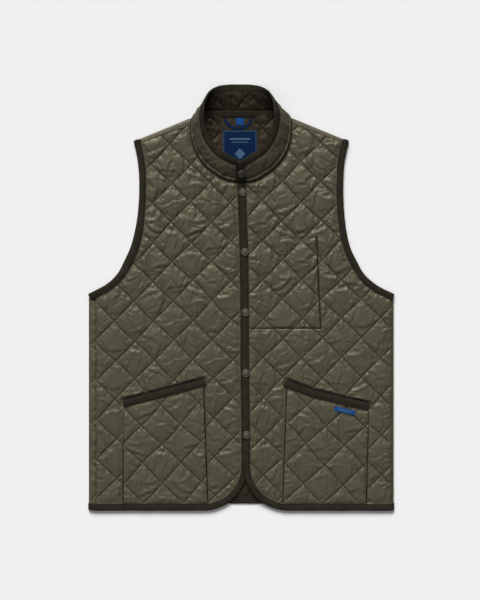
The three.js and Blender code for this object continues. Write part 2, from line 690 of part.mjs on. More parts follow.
// Materials
const material = (color, roughness, metalness = 0) => new THREE.MeshStandardMaterial({ color, roughness, metalness })
const nylon = material(0x5b5643, 0.45)
const lining = material(0x4a4033, 0.6)
const tape = material(0x2c2820, 0.8)
const metal = material(0x4a453d, 0.4, 0.9)
const ribbon = material(0x1c3a63, 0.7)
const paleRibbon = material(0x7fa3c4, 0.7)

const vest = new THREE.Group()

function addPart(name, geometry, itsMaterial) {
  const mesh = new THREE.Mesh(geometry, itsMaterial)
  mesh.name = name
  vest.add(mesh)
}

addPart('back', geometryOf(back()), lining)
addPart('binding_back_hem', geometryOf(backHemBinding()), tape)
for (const side of SIDES) {
  addPart(`front_${side}`, geometryOf(front(side)), nylon)
  addPart(`pocket_${side}`, geometryOf(pocket(side)), nylon)
  addPart(`binding_front_${side}`, geometryOf(frontBinding(side)), tape)
  addPart(`binding_armhole_${side}`, geometryOf(armholeBinding(side)), tape)
  addPart(`binding_pocket_${side}`, geometryOf(pocketBinding(side)), tape)
}
addPart('collar', geometryOf(collar()), nylon)
addPart('binding_collar', geometryOf(collarBinding()), tape)

const insideZ = WALL + GAP
const neckTape = { x: 0, y: BACK_NECK - GAP - NECK_TAPE.width / 2, width: NECK_TAPE.halfWidth * 2, height: NECK_TAPE.width }
addPart('neck_tape', plate(neckTape, insideZ, TAPE), tape)
const loopSection = [[-0.5, 0], [0.5, 0], [0.5, 1], [-0.5, 1]].map(([side, up]) => [side * LOOP.width, up * TAPE])
addPart('hanger_loop', geometryOf(strip(curveThrough(LOOP.route, 14), () => loopSection, flatPlace(insideZ))), ribbon)
addPart('size_tab', plate(SIZE_TAB, insideZ, TAPE), paleRibbon)
addPart('neck_label', plate(NECK_LABEL, insideZ, TAPE), ribbon)
addPart('pocket_label', plate(POCKET_LABEL, LABEL_Z, TAPE), ribbon)

const up = new THREE.Vector3(0, 0, 1)
const snapZ = FRONT_Z + LIFT + WALL + GAP
SNAP_YS.forEach((y, i) => {
  const position = new THREE.Vector3(frontEdgeX(y) + BINDING_WIDTH / 2, y, snapZ)
  addPart(`snap_${i + 1}`, snap(position, up), metal)
})
const collarSnap = [BINDING_WIDTH / 2, COLLAR_HEIGHT / 2]
addPart('snap_collar', snap(collarPlace(...collarSnap, WALL + 2 * GAP), collarNormal(...collarSnap)), metal)

// The origin is under the middle of the whole
const box = new THREE.Box3().setFromObject(vest)
const middle = box.getCenter(new THREE.Vector3())
vest.position.set(-middle.x, -middle.y, -box.min.z)
vest.updateMatrixWorld(true)

export default vest
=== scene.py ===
# A quilted vest laid flat on a pale floor: fine cloth, bindings, stitches, snaps and labels.
import math

import bpy
import numpy as np
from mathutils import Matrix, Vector
from mathutils.geometry import delaunay_2d_cdt
from mathutils.kdtree import KDTree


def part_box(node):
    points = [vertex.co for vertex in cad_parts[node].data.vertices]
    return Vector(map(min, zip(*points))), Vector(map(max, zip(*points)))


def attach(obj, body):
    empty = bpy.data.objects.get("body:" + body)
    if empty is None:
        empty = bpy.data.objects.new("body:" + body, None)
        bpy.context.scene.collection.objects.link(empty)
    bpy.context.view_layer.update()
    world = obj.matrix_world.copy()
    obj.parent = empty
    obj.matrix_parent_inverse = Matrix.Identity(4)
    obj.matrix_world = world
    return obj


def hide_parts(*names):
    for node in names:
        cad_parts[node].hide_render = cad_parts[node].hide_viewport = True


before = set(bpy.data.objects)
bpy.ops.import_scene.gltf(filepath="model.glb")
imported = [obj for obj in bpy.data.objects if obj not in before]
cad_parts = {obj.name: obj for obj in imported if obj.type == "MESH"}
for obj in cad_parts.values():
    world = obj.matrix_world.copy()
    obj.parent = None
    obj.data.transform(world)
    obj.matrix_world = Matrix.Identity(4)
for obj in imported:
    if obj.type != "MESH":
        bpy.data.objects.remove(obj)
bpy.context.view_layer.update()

# Sizes in millimetres, in the garment's own frame, as in the model's source
GAP = 0.3  # between sewn pieces, and between layers that lie on each other
WALL = 3.6  # quilted cloth pressed flat, and a bound edge
TAPE = 1.0
BINDING_WIDTH = 12.5
POCKET_BINDING_WIDTH = 13.5
STITCH_HEIGHT = 2.0  # of a front's cloth at a quilting stitch
QUILT_HALF = 35.8  # half of a diamond's diagonal
SQUARE = QUILT_HALF * math.sqrt(2)  # side of a quilting square
HALF_WIDTH = 280
FRONT_HEM = -388.7
BACK_HEM_RISE = 13  # in the middle of the back
OVERLAP = 9.1  # of the wearer's left front on the right one
CORNER_RADIUS = 82  # at the foot of each front edge
FRONT_Z = WALL + GAP
LIFT = WALL + GAP  # of the front edge that lies on the other one
LIFT_FLAT = 15
LIFT_FADE = 30
POCKET_Z = FRONT_Z + STITCH_HEIGHT + GAP
FOLD_TOP = FRONT_Z + WALL
SIDE_LIP = {"left": 5.6, "right": 14}
SHOULDER_LIP = {"left": (5.8, 11), "right": (6, 14)}  # at the tip, and at the neck

FRONT_EDGE = [(-4.5, 235), (-3.6, 190), (0.1, 84), (1.6, -20), (2.0, -140), (3.6, -260)]
ARMHOLE = [
    (306, -4), (280, 7), (247, 24), (224, 45), (207, 75), (198, 97), (191, 130),
    (187, 175), (186.5, 215), (189, 250), (197, 287.5), (202, 306),
]
SHOULDER_TIP = np.array([197, 287.5])
SHOULDER_NECK = np.array([92.6, 330.5])
BACK_NECK = 342

COLLAR_HEIGHT = 48
COLLAR_LEAN = -4
# Neck seam, top edge and bow of the collar, from the middle of the front to near the middle of the back
COLLAR = [
    ((0, 208.5, 7.5), (0, 245.5, 34), 2),
    ((30, 215, 7.5), (17, 257.5, 31), 3),
    ((48, 225, 7.5), (28, 264.5, 29), 4),
    ((64, 237, 7.5), (38, 271, 28), 4),
    ((78, 254, 7.5), (51, 287, 29), 4),
    ((87.5, 273, 7.5), (59, 303, 32), 4),
    ((92, 293, 7.5), (63, 318, 36), 3),
    ((93, 312, 7.3), (64.5, 333, 40), 3),
    ((91.5, 328, 4.6), (64, 348, 39), 2),
    ((82, 338, 0.6), (61, 363, 34), 1),
    ((68, BACK_NECK, 0), (55, 376, 24), 0),
    ((45, BACK_NECK, 0), (41, 386, 10), 0),
    ((22, BACK_NECK, 0), (21, 390, 2), 0),
]
COLLAR_BACK = ((0, BACK_NECK, 0), (0, 390.7, 0), 0)
SEAM_TURN = 8

# A crossing of the stitch lines on each piece, and their turn in degrees
LATTICE = {
    "front_left": (74.7, 140.5, 0.4),
    "front_right": (-53.1, -4.9, 0.9),
    "pocket_left": (114.5, -339.1, -2.4),
    "pocket_right": (-217.1, -269.1, 2.0),
    "collar": (14, 30, 0),
    "back": (3, 272.5, 0),
}
EDGE_TAPER = 13

POCKET_MOUTH = {
    "left": [(234.9, -192.7), (190, -182.5), (130, -167.5), (81.7, -148.8)],
    "right": [(-67.4, -147.5), (-145, -168.3), (-217.3, -186.7)],
}
POCKET_FOOT = {"left": (73.3, 229.2), "right": (-217.3, -59)}  # from x to x
CHEST_STITCH = [(137.7, 111.6), (145.2, -55.6), (12, -55.6)]
SNAP_YS = [192.7, 84, -26.7, -137, -250]
NECK_TAPE = {"half_width": 62, "width": 12}
LOOP_WIDTH = 4.8
LOOP_ROUTE = [(-30, 328.2), (-27, 321), (-18, 313), (-5, 310), (8, 313), (16, 321), (18, 328.2)]
SIZE_TAB = {"x": -2.7, "y": 322.5, "width": 14, "height": 13, "turn": 0}
NECK_LABEL = {"x": -2.5, "y": 270.5, "width": 62, "height": 72, "turn": 0}
POCKET_LABEL = {"x": 188.5, "y": -205.5, "width": 38, "height": 8, "turn": -13.5}
LOOP_BOX = {"x": -6, "y": 319, "width": 52, "height": 20}
LABEL_Z = POCKET_Z + WALL + GAP
NECK_BOX = np.array([(-95, 200), (95, 200), (95, 345), (-95, 345)], float)  # round the open neck

# Quilting: its grooves, and how its squares plump up and crease
GROOVE_DEPTH = 1.25
GROOVE_HALF = 0.9
PLUMP = 2.9  # height towards which the squares flatten
PLUMP_SHARE = 0.85
CREASES = (8, 12)
BROAD = 3  # of a square's creases are broad ones
CREASE_FADE = 5.0
CREASE_LIMIT = 1.15  # of their height or depth

# Sewing. Stitches have a length and a radius
TUCK = 5.0  # of a panel's edge inside its binding
STITCH_PITCH = 3.4
QUILT_STITCH = (2.8, 0.46)
BINDING_STITCH = (2.4, 0.34)
CHEST_STITCHES = (3.2, 0.75)
SIDE_STITCHES = (3.1, 0.68)
SIDE_STITCH = 1.5  # of a pocket's side stitching in from its edge
SIDE_STITCH_RISE = 0.8
TAPE_STITCH = 1.9  # of a binding's stitching from its inner edge
MOUTH_GAP = 5.0  # width of the dip above a pocket's mouth
ROLL = 1.5  # height of the rolled line above the collar's seam
PEEP = 3.2  # of the back's armhole binding outside the front's, round the height PEEP_Y
PEEP_Y = 90

# How fine the meshes are
MESH_STEP = 1.9
BACK_STEP = 3.4
LINING_STEP = 3.2
TAPE_STEP = 2.1
PATH_STEP = 2.4

SHIFT_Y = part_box("binding_front_left")[0].y * 1000 - FRONT_HEM
SIDES = ("left", "right")
WAY = {"left": 1, "right": -1}
ORDER = {"left": 0, "right": 1}


# Small helpers
def smooth(t):
    t = np.clip(t, 0, 1)
    return t * t * (3 - 2 * t)


def mix(a, b, t):
    return a + (b - a) * t


def unit(vectors):
    return vectors / np.maximum(np.linalg.norm(vectors, axis=-1, keepdims=True), 1e-9)


def turned(points, side):
    return points if side == "left" else points * [-1, 1]


def on_side(path, side):
    """The path of the wearer's left, or its mirror image, with the same side of it on its left."""
    return path if side == "left" else (path * [-1, 1])[::-1]


def closed(path):
    return np.vstack([path, path[:1]])


def level(points, height):
    return np.full(len(points), float(height))


def lengths_along(path):
    return np.concatenate([[0], np.cumsum(np.linalg.norm(np.diff(path, axis=0), axis=1))])


def resample(path, step):
    """The same path with points a given step apart."""
    path = np.asarray(path, float)
    total = lengths_along(path)
    count = max(int(round(total[-1] / step)), 1)
    at = np.linspace(0, total[-1], count + 1)
    return np.column_stack([np.interp(at, total, column) for column in path.T])


def even_ring(path, step):
    return resample(closed(path), step)[:-1]


def hermite(p1, p2, a, b, t):
    return (2 * p1 - 2 * p2 + a + b) * t**3 + (3 * p2 - 3 * p1 - 2 * a - b) * t**2 + a * t + p1


def in_fours(rows):
    """Four neighbouring points for each span, with one added past each end."""
    padded = np.vstack([2 * rows[0] - rows[1], rows, 2 * rows[-1] - rows[-2]])
    return zip(padded, padded[1:], padded[2:], padded[3:])


def curve_through(rows, step, per_span=24):
    """An even path on a uniform Catmull-Rom curve through some points."""
    rows = np.asarray(rows, float)
    t = np.linspace(0, 1, per_span, endpoint=False)[:, None]
    spans = [hermite(p1, p2, (p2 - p0) / 2, (p3 - p1) / 2, t) for p0, p1, p2, p3 in in_fours(rows)]
    return resample(np.vstack([*spans, rows[-1:]]), step)


def centripetal(rows, per_span=40):
    """Points at even parameters on a centripetal Catmull-Rom curve."""
    rows = np.asarray(rows, float)
    t = np.linspace(0, 1, per_span, endpoint=False)[:, None]
    spans = []
    for p0, p1, p2, p3 in in_fours(rows):
        d0, d1, d2 = (max(np.linalg.norm(q - p) ** 0.5, 1e-4) for p, q in ((p0, p1), (p1, p2), (p2, p3)))
        a = ((p1 - p0) / d0 - (p2 - p0) / (d0 + d1) + (p2 - p1) / d1) * d1
        b = ((p2 - p1) / d1 - (p3 - p1) / (d1 + d2) + (p3 - p2) / d2) * d1
        spans.append(hermite(p1, p2, a, b, t))
    return np.vstack([*spans, rows[-1:]])


def mitres(path):
    """For each point of a path, the step to its left that keeps parallel lines parallel round corners."""
    heading = unit(np.diff(path, axis=0))
    into = np.vstack([heading[:1], heading])
    out = np.vstack([heading, heading[-1:]])
    left = unit(np.column_stack([-into[:, 1] - out[:, 1], into[:, 0] + out[:, 0]]))
    plain = np.column_stack([-into[:, 1], into[:, 0]])
    return left / np.sum(left * plain, axis=1, keepdims=True)


def offset(path, inset):
    return path + mitres(path) * inset


def nearest(path, points):
    """Signed distance of points from a path, positive on its left, and how far along the path they are."""
    start, step = path[:-1], np.diff(path, axis=0)
    long = np.maximum(np.sum(step * step, axis=1), 1e-9)
    base = lengths_along(path)
    distance, along = np.empty(len(points)), np.empty(len(points))
    for low in range(0, len(points), 4096):
        part = points[low:low + 4096]
        away = part[:, None] - start[None]
        t = np.clip(np.sum(away * step, axis=2) / long, 0, 1)
        away -= t[..., None] * step
        k = np.argmin(np.sum(away * away, axis=2), axis=1)
        rows = np.arange(len(part))
        gap = away[rows, k]
        side = step[k, 0] * gap[:, 1] - step[k, 1] * gap[:, 0]
        distance[low:low + 4096] = np.linalg.norm(gap, axis=1) * np.where(side < 0, -1, 1)
        along[low:low + 4096] = base[k] + t[rows, k] * np.sqrt(long[k])
    return distance, along


def inside(outline, points):
    x, y = points[:, 0], points[:, 1]
    odd = np.zeros(len(points), bool)
    for (x1, y1), (x2, y2) in zip(outline, np.roll(outline, -1, axis=0)):
        if y1 == y2:
            continue
        odd ^= ((y1 > y) != (y2 > y)) & (x < (x2 - x1) * (y - y1) / (y2 - y1) + x1)
    return odd


def clipped(path, value):
    """The stretch of a path where value(points) is positive, with its ends on the zero."""
    values = value(path)
    kept = np.flatnonzero(values > 0)
    first, last = kept[0], kept[-1]
    rows = [path[first:last + 1]]
    if first > 0:
        t = values[first] / (values[first] - values[first - 1])
        rows.insert(0, [mix(path[first], path[first - 1], t)])
    if last + 1 < len(path):
        t = values[last] / (values[last] - values[last + 1])
        rows.append([mix(path[last], path[last + 1], t)])
    return np.vstack(rows)


def waves(points, wavelength, seed, count=9):
    """Smooth noise over a plane, about -1 to 1."""
    random = np.random.default_rng(seed)
    angles = random.uniform(0, 2 * math.pi, count)
    sizes = 2 * math.pi / (wavelength * random.uniform(0.7, 1.5, count))
    phases = random.uniform(0, 2 * math.pi, count)
    total = sum(
        np.sin((points[..., 0] * math.cos(a) + points[..., 1] * math.sin(a)) * k + phase)
        for a, k, phase in zip(angles, sizes, phases)
    )
    return total / math.sqrt(count)


def ripples(along, spacing, seed):
    """Smooth noise along a line, from random heights at about even places, -1 to 1."""
    random = np.random.default_rng(seed)
    count = int(np.max(along) / spacing) + 4
    heights = random.uniform(-1, 1, count + 2)
    at = np.clip(along / spacing, 0, count)
    k = at.astype(int)
    return mix(heights[k], heights[k + 1], smooth(at - k))


# Materials
class Look:
    """A material and its few shader nodes."""

    def __init__(self, name, color, roughness, metallic=0.0, tint=(1, 1, 1), shine=0.5):
        self.material = bpy.data.materials.new(name)
        self.material.use_nodes = True
        self.nodes, self.links = self.material.node_tree.nodes, self.material.node_tree.links
        self.inputs = self.nodes["Principled BSDF"].inputs
        self.inputs["Base Color"].default_value = (*color, 1)
        self.inputs["Roughness"].default_value = roughness
        self.inputs["Metallic"].default_value = metallic
        self.inputs["Specular IOR Level"].default_value = shine
        self.inputs["Specular Tint"].default_value = (*tint, 1)

    def node(self, kind, **values):
        made = self.nodes.new(kind)
        for key, value in values.items():
            if key in made.inputs:
                made.inputs[key].default_value = value
            else:
                setattr(made, key, value)
        return made

    def place(self):
        return self.node("ShaderNodeTexCoord").outputs["Object"]

    def noise(self, place, scale, detail=3.0, roughness=0.5):
        made = self.node("ShaderNodeTexNoise", Scale=scale, Detail=detail, Roughness=roughness)
        self.links.new(place, made.inputs["Vector"])
        return made.outputs["Fac"]

    def ramp(self, value, rows, target=None):
        made = self.node("ShaderNodeValToRGB")
        elements = made.color_ramp.elements
        while len(elements) < len(rows):
            elements.new(0.5)
        for element, (place, color) in zip(elements, rows):
            element.position = place
            element.color = (*color, 1)
        self.links.new(value, made.inputs["Fac"])
        if target:
            self.links.new(made.outputs["Color"], self.inputs[target])
        return made.outputs["Color"]

    def weave(self, place, threads, turn=0.0):
        """Height of a plain weave with so many threads to the metre."""
        turned_place = self.node("ShaderNodeMapping", Rotation=(0, 0, turn))
        self.links.new(place, turned_place.inputs["Vector"])
        both = self.node("ShaderNodeMath", operation="MULTIPLY")
        for socket, direction in zip(both.inputs, ("X", "Y")):
            made = self.node("ShaderNodeTexWave", Scale=threads / 6.28, Distortion=0.6, Detail=1.0)
            made.bands_direction = direction
            self.links.new(turned_place.outputs["Vector"], made.inputs["Vector"])
            self.links.new(made.outputs["Fac"], socket)
        return both.outputs[0]

    def bump(self, height, strength, distance, under=None):
        made = self.node("ShaderNodeBump", Strength=strength, Distance=distance)
        self.links.new(height, made.inputs["Height"])
        if under is not None:
            self.links.new(under, made.inputs["Normal"])
        self.links.new(made.outputs["Normal"], self.inputs["Normal"])
        return made.outputs["Normal"]


def cloth_material(name, tones, roughness, shine, threads, crease):
    """Woven cloth: slow tone changes, speckles, a weave and fine creases."""
    look = Look(name, tones[1], roughness, tint=(1.0, 0.93, 0.66), shine=shine)
    place = look.place()
    slow = look.ramp(look.noise(place, 14, 4), list(zip((0.3, 0.52, 0.75), tones)))
    speckle = look.ramp(look.noise(place, 900, 2), [(0.3, (0.86,) * 3), (0.7, (1.0,) * 3)])
    blend = look.node("ShaderNodeMix", data_type="RGBA", blend_type="MULTIPLY")
    blend.inputs[0].default_value = 0.8
    look.links.new(slow, blend.inputs[6])
    look.links.new(speckle, blend.inputs[7])
    look.links.new(blend.outputs[2], look.inputs["Base Color"])
    worn = [(0.3, (roughness * 0.85,) * 3), (0.7, (roughness * 1.15,) * 3)]
    look.ramp(look.noise(place, 40, 3), worn, "Roughness")
    drawn = look.node("ShaderNodeMapping", Scale=(1.0, 0.35, 1.0))
    look.links.new(place, drawn.inputs["Vector"])
    creases = look.noise(drawn.outputs["Vector"], 260, 4, 0.6)
    under = look.bump(creases, crease, 0.0008)
    look.bump(look.weave(place, threads), 0.12, 0.0001, under)
    return look.material


def tape_material(name, color, edge):
    """Matte cotton tape with fine ribs."""
    look = Look(name, color, 0.85, shine=0.15)
    place = look.place()
    look.ramp(look.noise(place, 90, 4), [(0.3, color), (0.75, edge)], "Base Color")
    under = look.bump(look.noise(place, 1600, 3), 0.25, 0.0003)
    look.bump(look.weave(place, 1300, 0.785), 0.3, 0.0002, under)
    return look.material


def metal_material(name, color, bright):
    look = Look(name, color, 0.55, metallic=0.5)
    place = look.place()
    look.ramp(look.noise(place, 300, 4), [(0.35, color), (0.7, bright)], "Base Color")
    look.bump(look.noise(place, 2500, 2), 0.12, 0.0002)
    return look.material


def ribbon_material(name, color):
    look = Look(name, color, 0.7, shine=0.06)
    place = look.place()
    dark = tuple(c * 0.75 for c in color)
    look.ramp(look.noise(place, 1200, 2), [(0.3, dark), (0.7, color)], "Base Color")
    look.bump(look.weave(place, 2200), 0.3, 0.0002)
    return look.material


SHELL = cloth_material(
    "shell_nylon", [(0.053, 0.046, 0.030), (0.058, 0.0515, 0.033), (0.063, 0.057, 0.036)],
    0.5, 0.5, 3000, 0.3)
# A shaded copy of the shell cloth: its darker tones are painted shade on the collar's outer face.
SHADED_COLLAR_SHELL = cloth_material(
    "collar_nylon_painted_shade", [(0.044, 0.038, 0.025), (0.048, 0.043, 0.028), (0.053, 0.048, 0.031)],
    0.55, 0.4, 3000, 0.35)
LINING = cloth_material(
    "brown_lining", [(0.012, 0.0085, 0.005), (0.024, 0.017, 0.01), (0.042, 0.03, 0.018)],
    0.6, 0.2, 2600, 0.15)
# A shaded copy of the lining: its darker tones are painted shade inside the collar.
SHADED_COLLAR_LINING = cloth_material(
    "collar_lining_painted_shade", [(0.006, 0.0045, 0.003), (0.01, 0.0075, 0.005), (0.017, 0.012, 0.0085)],
    0.6, 0.15, 2600, 0.15)
# Near-black tape: a painted shadow above each pocket's mouth, and the chest and pocket-side stitches, darker
# than thread to paint the shade of their sunken seams.
SHADE = tape_material("dark_thread_and_painted_shade", (0.003, 0.0028, 0.002), (0.006, 0.005, 0.0035))
BINDING = tape_material("binding_tape", (0.013, 0.0105, 0.0062), (0.023, 0.0185, 0.0115))
THREAD = tape_material("thread", (0.009, 0.0065, 0.0035), (0.014, 0.0105, 0.006))
METAL = metal_material("snap_pewter", (0.06, 0.054, 0.043), (0.102, 0.0918, 0.0731))
NAVY = ribbon_material("navy_ribbon", (0.002, 0.014, 0.052))
BLUE = ribbon_material("blue_ribbon", (0.008, 0.06, 0.23))
PALE = ribbon_material("pale_weft", (0.06, 0.12, 0.19))


# Meshes
def to_metres(points):
    return (np.asarray(points, float) + [0, SHIFT_Y, 0]) * 0.001


def add_piece(name, points, faces, material, slot, *nodes, sharp=50):
    mesh = bpy.data.meshes.new(name)
    mesh.from_pydata(to_metres(points).tolist(), [], faces)
    mesh.validate()
    mesh.materials.append(material)
    mesh.polygons.foreach_set("use_smooth", [True] * len(mesh.polygons))
    mesh.update()
    if sharp:
        mesh.set_sharp_from_angle(angle=math.radians(sharp))
    piece = bpy.data.objects.new(name, mesh)
    bpy.context.scene.collection.objects.link(piece)
    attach(piece, "root")
    if nodes:
        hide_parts(*nodes)
    return piece


def sweep(path, section, place):
    """Points and faces of a closed body swept along a path. section is rows of (inset, height)."""
    steps = mitres(path)
    section = np.broadcast_to(section, (len(path), *np.shape(section)[-2:]))
    at = path[:, None, :] + steps[:, None, :] * section[..., :1]
    count = section.shape[1]
    points = place(at[..., 0].ravel(), at[..., 1].ravel(), section[..., 1].ravel())
    i, j = np.meshgrid(np.arange(len(path) - 1), np.arange(count), indexing="ij")
    a, b = (i * count + j).ravel(), (i * count + (j + 1) % count).ravel()
    faces = np.column_stack([a, b, b + count, a + count]).tolist()
    end = (len(path) - 1) * count
    faces += [list(range(count))[::-1], list(range(end, end + count))]
    return points, faces


def add_swept(name, path, section, place, material, slot, *nodes, sharp=50):
    points, faces = sweep(path, section, place)
    return add_piece(name, points, outward(points, faces), material, slot, *nodes, sharp=sharp)


def outward(points, faces):
    """The faces, turned round if they enclose the body inside out."""
    volume = 0.0
    for face in faces:
        a = points[face[0]]
        for j, k in zip(face[1:], face[2:]):
            volume += np.dot(a, np.cross(points[j], points[k]))
    return faces if volume > 0 else [face[::-1] for face in faces]


def triangulated(outline, lines, step, seed):
    """Flat triangles inside an outline that follow some lines: points, triangles and the outline's points."""
    random = np.random.default_rng(seed)
    points = [tuple(p) for p in outline]
    edges = []
    for line in lines:
        far = np.abs(nearest(closed(outline), line)[0]) > 0.45 * step
        kept = inside(outline, line) & far
        last = None
        for point, keep in zip(line, kept):
            if keep:
                points.append(tuple(point))
                if last is not None:
                    edges.append((last, len(points) - 1))
                last = len(points) - 1
            else:
                last = None
    tree = KDTree(len(points))
    for k, (x, y) in enumerate(points):
        tree.insert((x, y, 0), k)
    tree.balance()
    low, high = np.min(outline, axis=0), np.max(outline, axis=0)
    xs, ys = np.meshgrid(np.arange(low[0], high[0], step), np.arange(low[1], high[1], step * 0.866))
    xs[1::2] += step / 2
    grid = np.column_stack([xs.ravel(), ys.ravel()]) + random.uniform(-0.18, 0.18, (xs.size, 2)) * step
    grid = grid[inside(outline, grid)]
    points += [(x, y) for x, y in grid if tree.find((x, y, 0))[2] > 0.62 * step]
    made = delaunay_2d_cdt([Vector(p) for p in points], edges, [list(range(len(outline)))], 1, 1e-4)
    flat = np.array([(p.x, p.y) for p in made[0]])
    triangles = [list(face) for face in made[2]]
    ring = np.empty(len(outline), int)
    for k, origins in enumerate(made[3]):
        for origin in origins:
            if origin < len(outline):
                ring[origin] = k
    return flat, triangles, ring


def closed_sheet(outline, lines, top, under, step=MESH_STEP, seed=1, coarse=9.0):
    """A sheet with a fine upper face and a plainer under face, joined round its edge."""
    upper, upper_faces, ring = triangulated(outline, lines, step, seed)
    lower, lower_faces, low_ring = triangulated(outline, [], coarse, seed + 1)
    points = np.vstack([top(upper), under(lower)])
    first = len(upper)
    faces = upper_faces + [[first + k for k in face[::-1]] for face in lower_faces]
    for k in range(len(ring)):
        n = (k + 1) % len(ring)
        faces.append([ring[n], ring[k], first + low_ring[k], first + low_ring[n]])
    faces = [[int(k) for k in face] for face in faces]
    return points, outward(points, faces)


# Folds of a quilted square, from a simulated patch of cloth
FOLD_CELLS = 4
FOLD_STEPS = 18
FOLD_GROWTH = 0.022
FOLD_FRAMES = 22
FOLD_REFINE = 3


def simulated_folds():
    """How each square of a quilted patch swells: (square, row, column, shift along a, along b, up) in mm."""
    count = FOLD_CELLS * FOLD_STEPS + 1
    step = SQUARE / FOLD_STEPS
    random = np.random.default_rng(11)
    a, b = np.meshgrid(np.arange(count), np.arange(count), indexing="ij")
    pinned = (a % FOLD_STEPS == 0) | (b % FOLD_STEPS == 0)
    dome = np.abs(np.sin(np.pi * a / FOLD_STEPS) * np.sin(np.pi * b / FOLD_STEPS))
    uneven = random.uniform(-0.25, 0.25, a.shape) * ~pinned
    start = np.stack([a * step, b * step, 1.6 * dome + uneven], axis=-1)
    faces = [[i * count + j, (i + 1) * count + j, (i + 1) * count + j + 1, i * count + j + 1]
             for i in range(count - 1) for j in range(count - 1)]
    mesh = bpy.data.meshes.new("fold_patch")
    mesh.from_pydata((start.reshape(-1, 3) * 0.001).tolist(), [], faces)
    patch = bpy.data.objects.new("fold_patch", mesh)
    bpy.context.scene.collection.objects.link(patch)
    group = patch.vertex_groups.new(name="stitched")
    group.add(np.flatnonzero(pinned.ravel()).tolist(), 1.0, "REPLACE")
    modifier = patch.modifiers.new("cloth", "CLOTH")
    cloth = modifier.settings
    cloth.quality = 6
    cloth.mass = 0.3
    cloth.effector_weights.gravity = 0
    cloth.vertex_group_mass = "stitched"
    cloth.shrink_min = cloth.shrink_max = -FOLD_GROWTH
    cloth.tension_stiffness = cloth.compression_stiffness = 15
    cloth.shear_stiffness = 5
    cloth.bending_stiffness = 22
    cloth.tension_damping = cloth.compression_damping = cloth.shear_damping = 5
    cloth.use_pressure = True
    cloth.uniform_pressure_force = 6
    modifier.collision_settings.use_collision = False
    modifier.point_cache.frame_end = FOLD_FRAMES + 1
    scene = bpy.context.scene
    for number in range(1, FOLD_FRAMES + 1):
        scene.frame_set(number)
    settled = np.empty(count * count * 3)
    patch.evaluated_get(bpy.context.evaluated_depsgraph_get()).data.vertices.foreach_get("co", settled)
    scene.frame_set(1)
    bpy.data.objects.remove(patch)
    moved = settled.reshape(count, count, 3) * 1000 - np.stack([a * step, b * step, 0 * a], axis=-1)
    cells = [moved[i * FOLD_STEPS:(i + 1) * FOLD_STEPS + 1, j * FOLD_STEPS:(j + 1) * FOLD_STEPS + 1]
             for i in range(FOLD_CELLS) for j in range(FOLD_CELLS)]
    return np.array(cells)


def refined(cells, factor):
    """Cells with more rows and columns, on cubic curves."""
    for axis in (1, 2):
        cells = np.moveaxis(cells, axis, 0)
        rows = len(cells)
        at = np.linspace(0, rows - 1, (rows - 1) * factor + 1)
        k = np.minimum(at.astype(int), rows - 2)
        t = (at - k).reshape(-1, *[1] * (cells.ndim - 1))
        p0, p1, p2, p3 = (cells[np.clip(k + n, 0, rows - 1)] for n in (-1, 0, 1, 2))
        cells = p1 + 0.5 * t * (p2 - p0 + t * (2 * p0 - 5 * p1 + 4 * p2 - p3 + t * (3 * (p1 - p2) + p3 - p0)))
        cells = np.moveaxis(cells, 0, axis)
    return cells


def creased(cells):
    """Cells with a few fine, slightly curved creases each, most of them upright or level."""
    last = cells.shape[1] - 1
    f = np.linspace(0, 1, last + 1)
    a, b = np.meshgrid(f, f, indexing="ij")
    x, y = (a + b - 1) * QUILT_HALF, (a - b) * QUILT_HALF
    inner = smooth(SQUARE * np.minimum(np.minimum(a, 1 - a), np.minimum(b, 1 - b)) / CREASE_FADE)
    random = np.random.default_rng(5)
    for cell in cells:
        total = np.zeros(x.shape)
        for number in range(random.integers(*CREASES)):
            upright = random.random() < 0.6
            spot = random.uniform(-0.62, 0.62) * QUILT_HALF
            other = random.uniform(-0.8, 0.8) * (QUILT_HALF - abs(spot))
            cx, cy = (spot, other) if upright else (other, spot)
            angle = random.normal(math.pi / 2 if upright else 0, 0.35)
            half, width = random.uniform(5, 14), random.uniform(1.1, 2.4)
            if number < BROAD:
                half, width = half * 1.6, width * 1.8
            steep = 1.5 if upright else 1.0
            along = (x - cx) * math.cos(angle) + (y - cy) * math.sin(angle)
            across = (y - cy) * math.cos(angle) - (x - cx) * math.sin(angle)
            across += random.uniform(-0.02, 0.02) * along**2
            fade = np.exp(-((along / half) ** 4))
            ridge = np.exp(-((across / width - 0.7) ** 2)) - 0.9 * np.exp(-((across / width + 0.7) ** 2))
            total += random.uniform(0.25, 0.6) * steep * width * fade * ridge
        cell[..., 2] += CREASE_LIMIT * np.tanh(total / CREASE_LIMIT) * inner
    return cells


FOLDS = refined(simulated_folds(), FOLD_REFINE)
FOLDS[..., 2] = PLUMP * np.tanh(FOLDS[..., 2] / PLUMP) * PLUMP_SHARE
FOLDS = creased(FOLDS)


